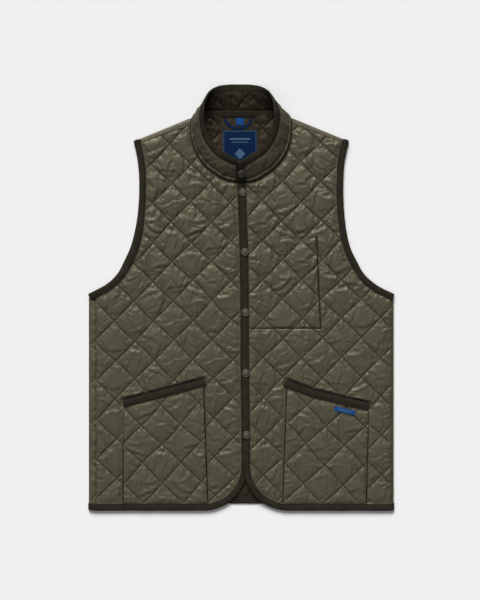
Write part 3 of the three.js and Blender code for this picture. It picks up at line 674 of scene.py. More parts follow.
class Quilting:
    """Two families of stitch lines over a piece, and how its cloth swells between them."""

    def __init__(self, name, seed, wander=1.3):
        x, y, turn = LATTICE[name]
        angle = math.radians(turn)
        self.origin = np.array([x, y], float)
        self.across = np.array([math.cos(angle), math.sin(angle)])
        self.up = np.array([-math.sin(angle), math.cos(angle)])
        self.seed = seed
        self.wander = wander

    def shift(self, points):
        both = [waves(points, 110, self.seed), waves(points, 110, self.seed + 50)]
        return self.wander * np.stack(both, axis=-1)

    def place(self, points):
        """Lattice numbers of points: stitch lines lie at whole ones."""
        away = points + self.shift(points) - self.origin
        across, up = away @ self.across, away @ self.up
        return (across + up) / (2 * QUILT_HALF), (across - up) / (2 * QUILT_HALF)

    def point(self, a, b):
        plain = self.origin + np.multiply.outer((a + b) * QUILT_HALF, self.across)
        plain = plain + np.multiply.outer((a - b) * QUILT_HALF, self.up)
        found = plain - self.shift(plain)
        return plain - self.shift(found)

    def groove_lines(self, outline, step=MESH_STEP):
        """Stitch lines with a line on each side of them, at the groove's edges."""
        return self.lines(outline, (-GROOVE_HALF, 0.0, GROOVE_HALF), step)

    def lines(self, outline, beside=(0.0,), step=MESH_STEP):
        """Stitch lines over an outline's box, each also a little to its sides where asked."""
        low, high = np.min(outline, axis=0) - 8, np.max(outline, axis=0) + 8
        corners = np.array([low, high, (low[0], high[1]), (high[0], low[1])])
        a, b = self.place(corners)
        found = []
        for k, (own, other) in enumerate(((a, b), (b, a))):
            run = np.arange(math.floor(min(other)) - 1, math.ceil(max(other)) + 1, step / SQUARE)
            for n in range(math.floor(min(own)) - 1, math.ceil(max(own)) + 2):
                for aside in beside:
                    fixed = np.full(len(run), n + aside / SQUARE)
                    line = self.point(fixed, run) if k == 0 else self.point(run, fixed)
                    if np.all((line > low) & (line < high), axis=1).any():
                        found.append(line)
        return found

    def swell(self, points):
        """Shift across the plane and height above the stitches, in mm."""
        a, b = self.place(points)
        i, j = np.floor(a).astype(int), np.floor(b).astype(int)
        fa, fb = a - i, b - j
        pick = (i * 73856093) ^ (j * 19349663) ^ (self.seed * 83492791)
        cell = np.abs(pick) % len(FOLDS)
        turns = (np.abs(pick) // 64) % 4
        swap, flip = turns & 1 > 0, turns & 2 > 0
        u, v = np.where(swap, fb, fa), np.where(swap, fa, fb)
        u, v = np.where(flip, 1 - u, u), np.where(flip, 1 - v, v)
        last = FOLDS.shape[1] - 1
        gu, gv = u * last, v * last
        ku, kv = np.minimum(gu.astype(int), last - 1), np.minimum(gv.astype(int), last - 1)
        tu, tv = (gu - ku)[:, None], (gv - kv)[:, None]
        found = mix(mix(FOLDS[cell, ku, kv], FOLDS[cell, ku + 1, kv], tu),
                    mix(FOLDS[cell, ku, kv + 1], FOLDS[cell, ku + 1, kv + 1], tu), tv)
        along_u, along_v = (np.where(flip, -found[:, k], found[:, k]) for k in (0, 1))
        along_a, along_b = np.where(swap, along_v, along_u), np.where(swap, along_u, along_v)
        half = math.sqrt(0.5)
        shift = np.multiply.outer((along_a + along_b) * half, self.across)
        shift = shift + np.multiply.outer((along_a - along_b) * half, self.up)
        gap = SQUARE * np.minimum(np.minimum(fa, 1 - fa), np.minimum(fb, 1 - fb))
        return shift, found[:, 2], gap


def quilted(quilting, points, near, puff=1.0, depth=GROOVE_DEPTH):
    """Flat points moved by the quilting's folds, and their height above the cloth's underside."""
    shift, height, gap = quilting.swell(points)
    groove = depth * np.exp(-((gap / GROOVE_HALF) ** 2))
    return points + shift * near[:, None], STITCH_HEIGHT + height * near * puff - groove


# Places: each one maps flat points and heights to points in space
def flat_place(low):
    def place(x, y, height):
        return np.column_stack([x, y, low + height])
    return place


def front_edge_x(y):
    rows = curve_through(FRONT_EDGE, 4)[::-1]
    return np.interp(y, rows[:, 1], rows[:, 0])


def front_lift(x, y):
    return LIFT * (1 - smooth((x - front_edge_x(y) - LIFT_FLAT) / LIFT_FADE))


def front_place_left(x, y, height):
    return np.column_stack([x, y, FRONT_Z + height + front_lift(x, y)])


FRONT_PLACE = {"left": front_place_left, "right": flat_place(FRONT_Z)}

FOLD_CENTRE = FOLD_TOP / 2
MID_RADIUS = FOLD_CENTRE - WALL / 2
QUARTER = MID_RADIUS * math.pi / 2  # half of the fold's own length, halfway through the cloth
BEND = 2 * QUARTER - FOLD_CENTRE  # past a fold's edge, where the folded-over cloth lies flat again

# The left shoulder: the way along it to the neck, the way out of its fold, and how far out that lies
SHOULDER_ALONG = unit(SHOULDER_NECK - SHOULDER_TIP)
SHOULDER_OUT = np.array([SHOULDER_ALONG[1], -SHOULDER_ALONG[0]])
SHOULDER_REACH = float(SHOULDER_TIP @ SHOULDER_OUT)


def wrapped(points, way_out, edge_at, heights):
    """Back cloth at flat points, wrapped round a fold. way_out points out of the garment, edge_at is the
    outermost distance that way, and heights are from the cloth's inner face."""
    reach = points @ way_out
    centre = edge_at - FOLD_CENTRE
    w = centre + QUARTER - reach
    radius = MID_RADIUS + heights - WALL / 2
    angle = np.clip(w / MID_RADIUS, -math.pi / 2, math.pi / 2)
    out = centre + radius * np.cos(angle) - np.maximum(np.abs(w) - QUARTER, 0)
    z = FOLD_CENTRE - radius * np.sin(angle)
    return points + np.multiply.outer(out - reach, way_out), z


def folds_near(x, y):
    """Each side's and shoulder's fold: its way out, how far out it lies, and which points are near it."""
    for side in SIDES:
        mine = x * WAY[side] > 0
        yield np.array([WAY[side], 0.0]), HALF_WIDTH, mine & (y < 60)
        yield SHOULDER_OUT * [WAY[side], 1], SHOULDER_REACH, mine & (y >= 200)


def back_place(x, y, heights):
    """The back, with its sides and shoulders folded over on to the front."""
    points = np.column_stack([x, y]).astype(float)
    z = WALL - heights
    for way_out, edge_at, part in folds_near(x, y):
        moved, height = wrapped(points, way_out, edge_at, heights)
        points = np.where(part[:, None], moved, points)
        folded = part & (np.abs(height - (WALL - heights)) > 1e-9)
        z = np.where(folded, height, z)
    return np.column_stack([points, z])


# The collar as a sheet: s runs along it from the end that lies on top, v up from the neck seam
def collar_line(column, lean):
    half = [np.array(row[column], float) for row in COLLAR]
    other = [row * [-1, 1, 1] for row in half][::-1]
    rows = np.array([*half, COLLAR_BACK[column], *other]) + [lean, 0, 0]
    edge = front_edge_x(COLLAR[0][0][1])
    rows[0, 0] = edge + lean
    rows[-1, 0] = edge + OVERLAP + lean
    return centripetal(rows)


SEAM_LINE = collar_line(0, 0)
TOP_LINE = collar_line(1, COLLAR_LEAN)
BOWS = [row[2] for row in COLLAR]
BOW_LINE = centripetal([[bow] for bow in [*BOWS, COLLAR_BACK[2], *BOWS[::-1]]])[:, 0]
COLLAR_RUN = lengths_along((SEAM_LINE + TOP_LINE) / 2)
COLLAR_LENGTH = COLLAR_RUN[-1]


def on_line(line, s):
    return np.stack([np.interp(s, COLLAR_RUN, column) for column in line.T], axis=-1)


def collar_point(s, v):
    s = np.clip(s, 0, COLLAR_LENGTH)
    return mix(on_line(SEAM_LINE, s), on_line(TOP_LINE, s), (v / COLLAR_HEIGHT)[:, None])


def collar_normal(s, v):
    ahead = collar_point(s + 2, v) - collar_point(s - 2, v)
    inside_s = np.clip(s, 0, COLLAR_LENGTH)
    seam, top = on_line(SEAM_LINE, inside_s), on_line(TOP_LINE, inside_s)
    out = unit(np.cross(ahead, top - seam))
    tilt = np.clip(seam[:, 2] / FOLD_TOP * 2 - 1, -1, 1)
    flat = unit(out * [1, 1, 0]) * np.sqrt(1 - tilt**2)[:, None]
    mouth_shadow = flat + tilt[:, None] * [0, 0, 1]
    return unit(mix(out, mouth_shadow, (1 - smooth(v / SEAM_TURN))[:, None]))


def collar_place(s, v, height):
    s, v = np.asarray(s, float), np.asarray(v, float)
    share = v / COLLAR_HEIGHT
    lift = LIFT * (1 - smooth((s - LIFT_FLAT) / LIFT_FADE))
    bow = np.interp(np.clip(s, 0, COLLAR_LENGTH), COLLAR_RUN, BOW_LINE) * 4 * share * (1 - share)
    point = collar_point(s, v) + collar_normal(s, v) * (height - WALL + lift + bow)[:, None]
    point[:, 2] = np.maximum(point[:, 2], 0)
    return point


# Outlines. Those of a side are worked out for the wearer's left, and turned over for the right
ARMHOLE_PATH = curve_through(ARMHOLE, PATH_STEP)
SEAM_RING = SEAM_LINE[:, :2]


def edge_path(side):
    """Down the front edge, round its foot and along the hem, for a garment on the path's left."""
    edge = curve_through(FRONT_EDGE, PATH_STEP)
    if side == "right":
        edge = (edge + [OVERLAP, 0]) * [-1, 1]
    foot = edge[-1]
    centre = foot + [CORNER_RADIUS, 0]
    centre[1] = FRONT_HEM + CORNER_RADIUS
    angles = np.linspace(0, math.pi / 2, 48)
    corner = centre - CORNER_RADIUS * np.column_stack([np.cos(angles), np.sin(angles)])
    hem = resample([corner[-1], (HALF_WIDTH + 10, FRONT_HEM)], PATH_STEP)
    down = resample([foot, corner[0]], PATH_STEP)
    return np.vstack([edge, down[1:-1], corner, hem[1:]])


EDGE_PATH = {side: edge_path(side) for side in SIDES}


def neck_path(side):
    """The neck seam from the shoulder to the front, with the front's cloth on its left."""
    ring = on_side(SEAM_RING, side)
    return ring[:len(ring) // 2][::-1]


def shoulder_line(at_tip, at_neck, past_neck=20):
    """A line beside the shoulder, given how far into the garment it lies at the tip and at the neck."""
    return np.array([
        SHOULDER_TIP - SHOULDER_ALONG * 20 - SHOULDER_OUT * at_tip,
        SHOULDER_NECK + SHOULDER_ALONG * past_neck - SHOULDER_OUT * at_neck,
    ])


def shoulder_seam(side, extra=0.0):
    """The line of the shoulder seam on the front, from the tip to the neck."""
    at_tip, at_neck = SHOULDER_LIP[side]
    return shoulder_line(at_tip + extra, at_neck + extra)


def below(line):
    return lambda points: nearest(line, points)[0]


def front_outline(side):
    """The front's cut, with its edges tucked in their bindings. Turned as for the wearer's left."""
    side_x = HALF_WIDTH - SIDE_LIP[side] - GAP
    off_seam = below(shoulder_seam(side, GAP))
    neck = offset(neck_path(side), GAP)
    opening = offset(EDGE_PATH[side], BINDING_WIDTH - TUCK)
    armhole = offset(ARMHOLE_PATH, BINDING_WIDTH - TUCK)
    in_front, off_neck = below(opening), below(neck)

    def in_neck(p):
        behind = (p[:, 0] < 80) & (p[:, 1] > 300)
        return np.where(behind, -1.0, np.minimum(off_seam(p), in_front(p)))

    def in_opening(p):
        return np.minimum(side_x - p[:, 0], np.where(p[:, 1] > 150, off_neck(p), 1))

    opening = clipped(opening, in_opening)
    armhole = clipped(armhole, lambda p: np.minimum(side_x - p[:, 0], off_seam(p)))
    return even_ring(np.vstack([opening, armhole, clipped(neck, in_neck)]), MESH_STEP)


def hem_and_armhole(side_x, seam):
    """The wearer's left half of the back's hem, and that armhole, as far as a side line and a seam."""
    hem = offset(back_hem_path(), BINDING_WIDTH - TUCK)
    armhole = offset(ARMHOLE_PATH, BINDING_WIDTH - TUCK)
    lower = clipped(hem, lambda p: np.minimum(p[:, 0] + 1e-6, side_x - p[:, 0]))
    upper = clipped(armhole, lambda p: np.minimum(side_x - p[:, 0], below(seam)(p)))
    return lower, upper


def back_outline():
    """The back's cut, opened out past its side and shoulder folds as far as the front seams."""
    half = []
    out = 2 * QUARTER - 2 * FOLD_CENTRE
    for side in SIDES:
        at_tip, at_neck = SHOULDER_LIP[side]
        lower, upper = hem_and_armhole(HALF_WIDTH + out + SIDE_LIP[side],
                                       shoulder_line(-out - at_tip, -out - at_neck, 26))
        ring = offset(on_side(SEAM_RING, side), -GAP)
        stay = ring[(ring[:, 1] > SHOULDER_NECK[1]) & (ring[:, 0] >= 0)]
        stay = stay[:np.argmax(stay[:, 0] < 1)] if (stay[:, 0] < 1).any() else stay
        front_neck = offset(neck_path(side), GAP)
        depth = SHOULDER_REACH - front_neck @ SHOULDER_OUT
        turned_over = (front_neck[:, 0] > 80) & (front_neck[:, 1] > 300) & (depth > 0) & (depth < at_neck)
        rolled = (front_neck + np.multiply.outer(2 * depth + out, SHOULDER_OUT))[turned_over][::-1]
        half.append(on_side(np.vstack([lower, upper, rolled, stay]), side))
    return even_ring(np.vstack(half), MESH_STEP)


def back_hem_path():
    reach = HALF_WIDTH + 24
    x = np.linspace(-reach, reach, 260)
    across = x / (HALF_WIDTH + 12)
    return np.column_stack([x, FRONT_HEM + BACK_HEM_RISE * (1 - across**2)])


def pocket_outline(side):
    first, last = POCKET_FOOT[side]
    return np.array([*POCKET_MOUTH[side], (first, FRONT_HEM), (last, FRONT_HEM)], float)


def add_sheet(name, outline, lines, top, under, material, slot, cad_node, rests_on, **fineness):
    points, faces = closed_sheet(outline, lines, top, under, **fineness)
    piece = add_piece(name, points, faces, material, slot, cad_node)


def puckers(distance, along, seed, height=1.1, reach=9.0, spacing=4.8):
    """Heights of the puckers where cloth runs under a binding or into a seam."""
    rise = smooth(distance / 2) * np.exp(-np.maximum(distance, 0) / reach)
    lean = along + 1.6 * waves(np.column_stack([along, distance]), 30, seed + 7)
    return height * rise * ripples(np.maximum(lean, 0), spacing, seed)


def front_top(side, quilting):
    """The upper face of a front, as a function of flat points."""
    opening = offset(EDGE_PATH[side], BINDING_WIDTH)
    armhole = offset(ARMHOLE_PATH, BINDING_WIDTH)
    side_x = HALF_WIDTH - SIDE_LIP[side]
    neck = neck_path(side)
    shoulder = shoulder_seam(side)
    pocket = pocket_outline(side)
    ring = closed(pocket)

    def top(points):
        local = turned(points, side)
        bound = [nearest(path, local) for path in (opening, armhole)]
        seams = [nearest(path, local) for path in (neck, shoulder)]
        seams.append((side_x - local[:, 0], local[:, 1] - FRONT_HEM))
        tuck = np.minimum(bound[0][0], bound[1][0])
        seam = np.min([distance for distance, _ in seams], axis=0)
        near = smooth((np.minimum(tuck, seam) + 1.5) / EDGE_TAPER)
        in_pocket = np.abs(nearest(ring, points)[0]) * np.where(inside(pocket, points), 1, -1)
        by_side = np.where(points[:, 1] < mouth_y(side, points[:, 0]) - 8, 1, 0)
        dip = by_side * (1 - smooth(-in_pocket / 9)) * (in_pocket < 0)
        pressed = smooth((in_pocket + 1.5) / 3)
        lively = mix(0.78, 1.12, smooth((points[:, 1] + 120) / 260))
        moved, height = quilted(quilting, points, near * (1 - pressed) * (1 - 0.8 * dip), lively)
        for k, (distance, along) in enumerate([*bound, *seams]):
            height += puckers(distance, along, 31 * k + quilting.seed)
        height += puckers(np.maximum(-in_pocket, 0), nearest(ring, points)[1], 5 + quilting.seed) * dip
        over_mouth = points[:, 1] - mouth_y(side, points[:, 0])
        gape = smooth((in_pocket + MOUTH_GAP) / 2.5) * smooth((over_mouth + 14) / 3)
        height = mix(height, 0.3, gape)
        if side == "left":
            gap, _ = nearest(np.array(CHEST_STITCH, float), points)
            height -= (height - STITCH_HEIGHT + 1.2) * np.exp(-((gap / 1.5) ** 2))
        height = mix(height, np.minimum(height, STITCH_HEIGHT - 0.2), pressed)
        height = mix(2.2, height, smooth((tuck + 0.5) / 3))
        height = mix(1.3, height, np.sqrt(smooth(seam / 4)))
        return FRONT_PLACE[side](*moved.T, height)

    return top


def mouth_y(side, x):
    rows = np.array(sorted(POCKET_MOUTH[side]), float)
    return np.interp(x, rows[:, 0], rows[:, 1])


def spots_along(line, at):
    total = lengths_along(line)
    return np.column_stack([np.interp(at, total, column) for column in line.T])


def stitch_bodies(lines, length, radius):
    """Small pointed stitches along lines in space."""
    starts, ends = [], []
    for line in lines:
        total = lengths_along(line)[-1]
        if total < STITCH_PITCH:
            continue
        at = np.arange(STITCH_PITCH * 0.4, total - length, STITCH_PITCH)
        starts.append(spots_along(line, at))
        ends.append(spots_along(line, at + length))
    start, end = np.vstack(starts), np.vstack(ends)
    ahead = unit(end - start)
    aside = unit(np.cross(ahead, [0, 0, 1]))
    up = np.cross(aside, ahead)
    rows = [start]
    for share in (0.25, 0.75):
        centre = mix(start, end, share) + up * radius * 0.5
        rows += [centre + aside * radius, centre + up * radius, centre - aside * radius, centre - up * radius]
    rows.append(end)
    points = np.stack(rows, axis=1).reshape(-1, 3)
    faces = [(0, 2, 1), (0, 3, 2), (0, 4, 3), (0, 1, 4), (9, 5, 6), (9, 6, 7), (9, 7, 8), (9, 8, 5),
             (1, 2, 6, 5), (2, 3, 7, 6), (3, 4, 8, 7), (4, 1, 5, 8)]
    return points, [[k * 10 + n for n in face] for k in range(len(start)) for face in faces]


def add_stitches(name, lines, size, material=THREAD, slot="shell"):
    points, faces = stitch_bodies(lines, *size)
    add_piece(name, points, faces, material, slot, sharp=0)


def lines_on(top, outline, lines, inset, keep=None):
    """Flat lines clipped to an outline and laid on a surface, as runs of points in space."""
    ring = closed(outline)
    runs = []
    for line in lines:
        kept = inside(outline, line) & (np.abs(nearest(ring, line)[0]) > inset)
        if keep is not None:
            kept &= keep(line)
        spots = top(line)
        start = None
        for k in range(len(line) + 1):
            on = k < len(line) and kept[k]
            if on and start is None:
                start = k
            if not on and start is not None:
                if k - start > 2:
                    runs.append(spots[start:k])
                start = None
    return runs


# The two fronts
def add_front(side):
    name = f"front_{side}"
    quilting = Quilting(name, seed=3 if side == "left" else 8)
    outline = on_side(front_outline(side), side)
    top = front_top(side, quilting)

    def under(points):
        return FRONT_PLACE[side](*points.T, level(points, 0))

    lines = quilting.groove_lines(outline)
    chest = resample(CHEST_STITCH, MESH_STEP)
    if side == "left":
        lines += [offset(chest, 1.4), chest, offset(chest, -1.4)]
    add_sheet(f"{name}_cloth", outline, lines, top, under, SHELL, "shell", name, ["back_shell"],
              seed=quilting.seed)
    pocket = pocket_outline(side)
    runs = lines_on(top, outline, quilting.lines(outline), TUCK, lambda line: ~inside(pocket, line))
    add_stitches(f"stitches_{name}", runs, QUILT_STITCH)
    if side == "left":
        # These stitches are near-black, darker than thread: painted shade of their sunken line.
        runs = [run + [0, 0, SIDE_STITCH_RISE] for run in lines_on(top, outline, [chest], TUCK)]
        add_stitches("stitches_chest", runs, CHEST_STITCHES, SHADE)


# The back, its lining and its folded-over edges
def add_back():
    quilting = Quilting("back", seed=21)
    outline = back_outline()
    hem = offset(back_hem_path(), BINDING_WIDTH)
    armhole = offset(ARMHOLE_PATH, BINDING_WIDTH)

    def edge_distance(points):
        values = [nearest(hem, points)[0]]
        for side in SIDES:
            local = turned(points, side)
            values.append(np.where(local[:, 0] > 0, nearest(armhole, local)[0], 99))
        return np.min(values, axis=0)

    def outer(points):
        distance = edge_distance(points)
        past_side = np.abs(points[:, 0]) - HALF_WIDTH
        past_shoulder = np.where(points[:, 1] > 200, np.abs(points) @ SHOULDER_OUT - SHOULDER_REACH, -99)
        flat = smooth(-(np.maximum(past_side, past_shoulder) + 12) / 16)
        lip, top_lip = past_side - BEND, past_shoulder - BEND
        folded = smooth(lip / 3)
        near = smooth(distance / EDGE_TAPER) * np.maximum(flat, folded)
        _, height, gap = quilting.swell(points)
        rise = WALL - 1.5 + 1.5 * np.clip(height / 2.0, 0, 1) * near
        rise -= (0.5 + 0.5 * folded) * np.exp(-((gap / GROOVE_HALF) ** 2)) * near
        rise += folded * (0.7 + 0.5 * waves(points * [0.35, 1.0], 13, 26))
        rise += puckers(lip, points[:, 1] - FRONT_HEM, 24, 0.8, 40, 9.0) * (lip > 0)
        rise += smooth(top_lip / 3) * 0.7
        rise += puckers(top_lip, np.abs(points[:, 0]), 25, 0.35, 40, 9.0) * (top_lip > 0)
        rise = mix(2.2, rise, smooth((distance + 0.5) / 3))
        return back_place(*points.T, rise)

    def inner(points):
        return back_place(*points.T, level(points, 1.5))

    lines = quilting.groove_lines(outline, 4.0)
    for side in SIDES:
        for share in (-1, -0.5, 0, 0.5, 1):
            past = QUARTER * (1 + share) - FOLD_CENTRE
            upright = [(HALF_WIDTH + past, FRONT_HEM), (HALF_WIDTH + past, 30)]
            sloping = [SHOULDER_TIP + SHOULDER_OUT * past, SHOULDER_NECK + SHOULDER_OUT * past]
            lines += [turned(resample(line, 4.0), side) for line in (upright, sloping)]
    add_sheet("back_shell", outline, lines, outer, inner, SHELL, "shell", "back", ["floor"],
              step=BACK_STEP, seed=21, coarse=6.0)


def add_lining():
    quilting = Quilting("back", seed=22)
    edge = 9.0
    seam = shoulder_line(edge, edge)
    ring = offset(SEAM_RING, -GAP)
    ring = clipped(ring[(ring[:, 1] > 318) & (ring[:, 0] >= 1)], below(seam))
    half = np.vstack([*hem_and_armhole(HALF_WIDTH - edge, seam), ring])
    outline = even_ring(np.vstack([half, on_side(half, "right")]), LINING_STEP)
    hem_in = offset(back_hem_path(), BINDING_WIDTH)

    def top(points):
        to_hem = nearest(hem_in, points)[0]
        open_neck = inside(SEAM_RING, points) * smooth(np.abs(nearest(SEAM_RING, points)[0]) / 12)
        near = smooth(to_hem / EDGE_TAPER)
        moved, height = quilted(quilting, points, near * np.maximum(open_neck, 0.02), puff=0.9)
        label = label_press(points)
        rumple = 0.8 * waves(points, 15, 33) + 0.5 * waves(points, 7, 34)
        free = 1.35 + (height - STITCH_HEIGHT + rumple * open_neck) * (1 - label)
        free = mix(free, np.minimum(free, 1.4), 1 - open_neck)
        z = mix(2.2, WALL - 1.4 + free, smooth((to_hem + 0.5) / 3))
        return np.column_stack([moved, z])

    def under(points):
        return np.column_stack([points, level(points, WALL - 1.45)])

    lines = quilting.groove_lines(outline, LINING_STEP)
    add_sheet("back_lining", outline, lines, top, under, LINING, "lining", "back", ["back_shell"],
              step=LINING_STEP, seed=22)
    runs = lines_on(top, outline, quilting.lines(NECK_BOX), 2, lambda line: inside(SEAM_RING, line))
    add_stitches("stitches_lining", runs, QUILT_STITCH, slot="lining")


def label_press(points):
    """1 under the label, the tab and the loop, 0 away from them."""
    pressed = np.zeros(len(points))
    for box in (NECK_LABEL, SIZE_TAB, LOOP_BOX):
        gap = np.maximum(np.abs(points[:, 0] - box["x"]) - box["width"] / 2,
                         np.abs(points[:, 1] - box["y"]) - box["height"] / 2)
        pressed = np.maximum(pressed, 1 - smooth((gap - 1) / 10))
    return pressed


# Bindings
def tape_section(path, width, seed, wave=0.3):
    """A tape folded round the cloth's edge, with a stitched dip by its inner edge, for each path point."""
    rows = np.array([
        (width, 0.5), (width - 0.5, 0.15), (width - 1.8, 0.2), (width - 3.2, 0.0), (3.2, 0.0), (1.3, 0.2),
        (0.35, 0.85), (0.0, 1.8), (0.35, 2.75), (1.3, 3.45), (3.0, 3.8), (6.0, 3.95),
        (width - 3.6, 3.8), (width - 2.6, 3.55), (width - 1.9, 3.2), (width - 1.2, 3.5), (width - 0.5, 3.4),
        (width, 3.0), (width, 2.65), (TAPE + 0.4, 2.65), (TAPE + 0.4, 1.0), (width, 1.0),
    ])
    along = lengths_along(path)
    section = np.repeat(rows[None], len(along), axis=0)
    top = smooth((rows[:, 1] - 2.7) / 0.6)[None]
    uneven = 0.22 * ripples(along, 7, seed)[:, None] + wave * ripples(along, 31, seed + 1)[:, None]
    section[..., 1] += top * uneven
    stitch = np.exp(-(((rows[:, 0] - (width - TAPE_STITCH)) / 1.3) ** 2))[None] * top
    section[..., 1] -= 0.3 * stitch * (0.5 + 0.5 * np.cos(2 * math.pi * along / STITCH_PITCH))[:, None]
    outer = (rows[:, 0] < 1.5) & (rows[:, 1] > 0.1)
    section[:, outer, 0] += 0.25 * ripples(along, 23, seed + 2)[:, None]
    inner = rows[:, 0] > width - 0.8
    section[:, inner, 0] += 0.35 * ripples(along, 11, seed + 3)[:, None]
    return section


def lower_tape(path, seed):
    """The same, pressed as thin as the cloth under the fronts."""
    section = tape_section(path, BINDING_WIDTH, seed, wave=0.0)
    section[..., 1] = np.clip(section[..., 1], 0, WALL)
    return section


def dimpled(section, path, spots):
    """Tape pressed down round its snaps. spots are flat points on it."""
    steps = mitres(path)
    at = path[:, None, :] + steps[:, None, :] * section[..., :1]
    for spot in spots:
        away = np.linalg.norm(at - np.asarray(spot), axis=2)
        section[..., 1] -= 0.55 * np.exp(-((away / 9.0) ** 2)) * (section[..., 1] > 2.9)
    return section


def binding_stitches(name, path, width, place):
    line = offset(path, width - TAPE_STITCH)
    add_stitches(name, [place(*line.T, level(line, 3.35))], BINDING_STITCH, slot="binding")


def snap_spots():
    return [(float(front_edge_x(y)) + BINDING_WIDTH / 2, y) for y in SNAP_YS]


def add_front_binding(side):
    name = f"binding_front_{side}"
    start_y = COLLAR[0][0][1] - GAP
    side_x = HALF_WIDTH - SIDE_LIP[side] - GAP
    path = clipped(EDGE_PATH[side], lambda p: np.minimum(start_y - p[:, 1], side_x - p[:, 0]))
    path = resample(on_side(path, side), TAPE_STEP)
    section = tape_section(path, BINDING_WIDTH, seed=41 + ORDER[side])
    if side == "left":
        section = dimpled(section, path, snap_spots())
    add_swept(f"{name}_tape", path, section, FRONT_PLACE[side], BINDING, "binding", name)
    binding_stitches(f"stitches_{name}", path, BINDING_WIDTH, FRONT_PLACE[side])


def wrapped_place(low, upper):
    """The upper or the lower half of an armhole's binding, wrapped round the side and shoulder folds."""
    def place(x, y, height):
        points = np.column_stack([x, y]).astype(float)
        z = low + height
        for way_out, edge_at, part in folds_near(x, y):
            moved, folded = wrapped(points, way_out, edge_at, height if upper else WALL - height)
            turning = part & (points @ way_out > edge_at - FOLD_CENTRE)
            points = np.where(turning[:, None], moved, points)
            z = np.where(turning, FOLD_TOP - folded if upper else folded, z)
        return np.column_stack([points, z])
    return place


def add_armhole_binding(side):
    name = f"binding_armhole_{side}"
    past = QUARTER - FOLD_CENTRE
    end_side, end_shoulder = HALF_WIDTH + past, SHOULDER_REACH + past
    path = clipped(ARMHOLE_PATH, lambda p: np.minimum(end_side - p[:, 0], end_shoulder - p @ SHOULDER_OUT))
    path = on_side(resample(path, TAPE_STEP), side)
    lower = lower_tape(path, 53 + ORDER[side])
    if side == "right":
        lower[..., 0] -= (PEEP * np.exp(-(((path[:, 1] - PEEP_Y) / 60) ** 2)))[:, None]
    section = tape_section(path, BINDING_WIDTH, seed=51 + ORDER[side])
    upper_points, upper_faces = sweep(path, section, wrapped_place(FRONT_Z, True))
    lower_points, lower_faces = sweep(path, lower, wrapped_place(0, False))
    faces = outward(upper_points, upper_faces)
    faces += [[k + len(upper_points) for k in face] for face in outward(lower_points, lower_faces)]
    add_piece(f"{name}_tape", np.vstack([upper_points, lower_points]), faces, BINDING, "binding", name)
    binding_stitches(f"stitches_{name}", path, BINDING_WIDTH, flat_place(FRONT_Z))


def add_back_hem_binding():
    name = "binding_back_hem"
    ends = [HALF_WIDTH - 2 * FOLD_CENTRE + 2 * QUARTER + SIDE_LIP[side] for side in SIDES]
    path = clipped(back_hem_path(), lambda p: np.minimum(ends[0] - p[:, 0], p[:, 0] + ends[1]))
    path = resample(path, TAPE_STEP)

    def place(x, y, height):
        return back_place(x, y, WALL - height)

    add_swept(f"{name}_tape", path, lower_tape(path, 61), place, BINDING, "binding", name)


def add_collar_binding():
    name = "binding_collar"
    length, top = COLLAR_LENGTH, COLLAR_HEIGHT
    corners = [(length, 0), (length, top), (0, top), (0, 0)]
    edges = [resample([a, b], TAPE_STEP) for a, b in zip(corners, corners[1:])]
    path = np.vstack([edges[0], edges[1][1:], edges[2][1:]])
    section = tape_section(path, BINDING_WIDTH, seed=71, wave=0.15)
    section = dimpled(section, path, [(BINDING_WIDTH / 2, COLLAR_HEIGHT / 2)])
    add_swept(f"{name}_tape", path, section, collar_place, BINDING, "binding", name)
    binding_stitches(f"stitches_{name}", path, BINDING_WIDTH, collar_place)


def add_pocket_mouth_shadow(side):
    """A strip of near-black tape above a pocket's mouth: a painted shadow of the gap there, as an uneven
    line.
    """
    path = resample(curve_through(POCKET_MOUTH[side], TAPE_STEP), 1.6)
    along = lengths_along(path)
    ends = smooth(np.minimum(along, along[-1] - along) / 9)
    rows = np.array([(-1.0, 0.4), (-1.0, 1.1), (-0.6, 1.5), (3.0, 1.6), (8.0, 1.6), (8.0, 0.4)])
    section = np.repeat(rows[None], len(along), axis=0)
    show = ends * (2.3 + 1.6 * ripples(along, 13, 85) + 0.6 * ripples(along, 4, 86))
    section[:, :3, 0] -= show[:, None]
    add_swept(f"pocket_{side}_facing", path, section, flat_place(FRONT_Z), SHADE, "lining")


def add_pocket_binding(side):
    name = f"binding_pocket_{side}"
    path = curve_through(POCKET_MOUTH[side], TAPE_STEP)
    section = tape_section(path, POCKET_BINDING_WIDTH, seed=81 + ORDER[side])
    along = lengths_along(path)
    ends = np.minimum(along, along[-1] - along)
    section[..., 1] -= (0.9 * (1 - smooth(ends / 6)))[:, None] * (section[..., 1] > 2)
    add_swept(f"{name}_tape", path, section, flat_place(POCKET_Z), BINDING, "binding", name)
    binding_stitches(f"stitches_{name}", path, POCKET_BINDING_WIDTH, flat_place(POCKET_Z))


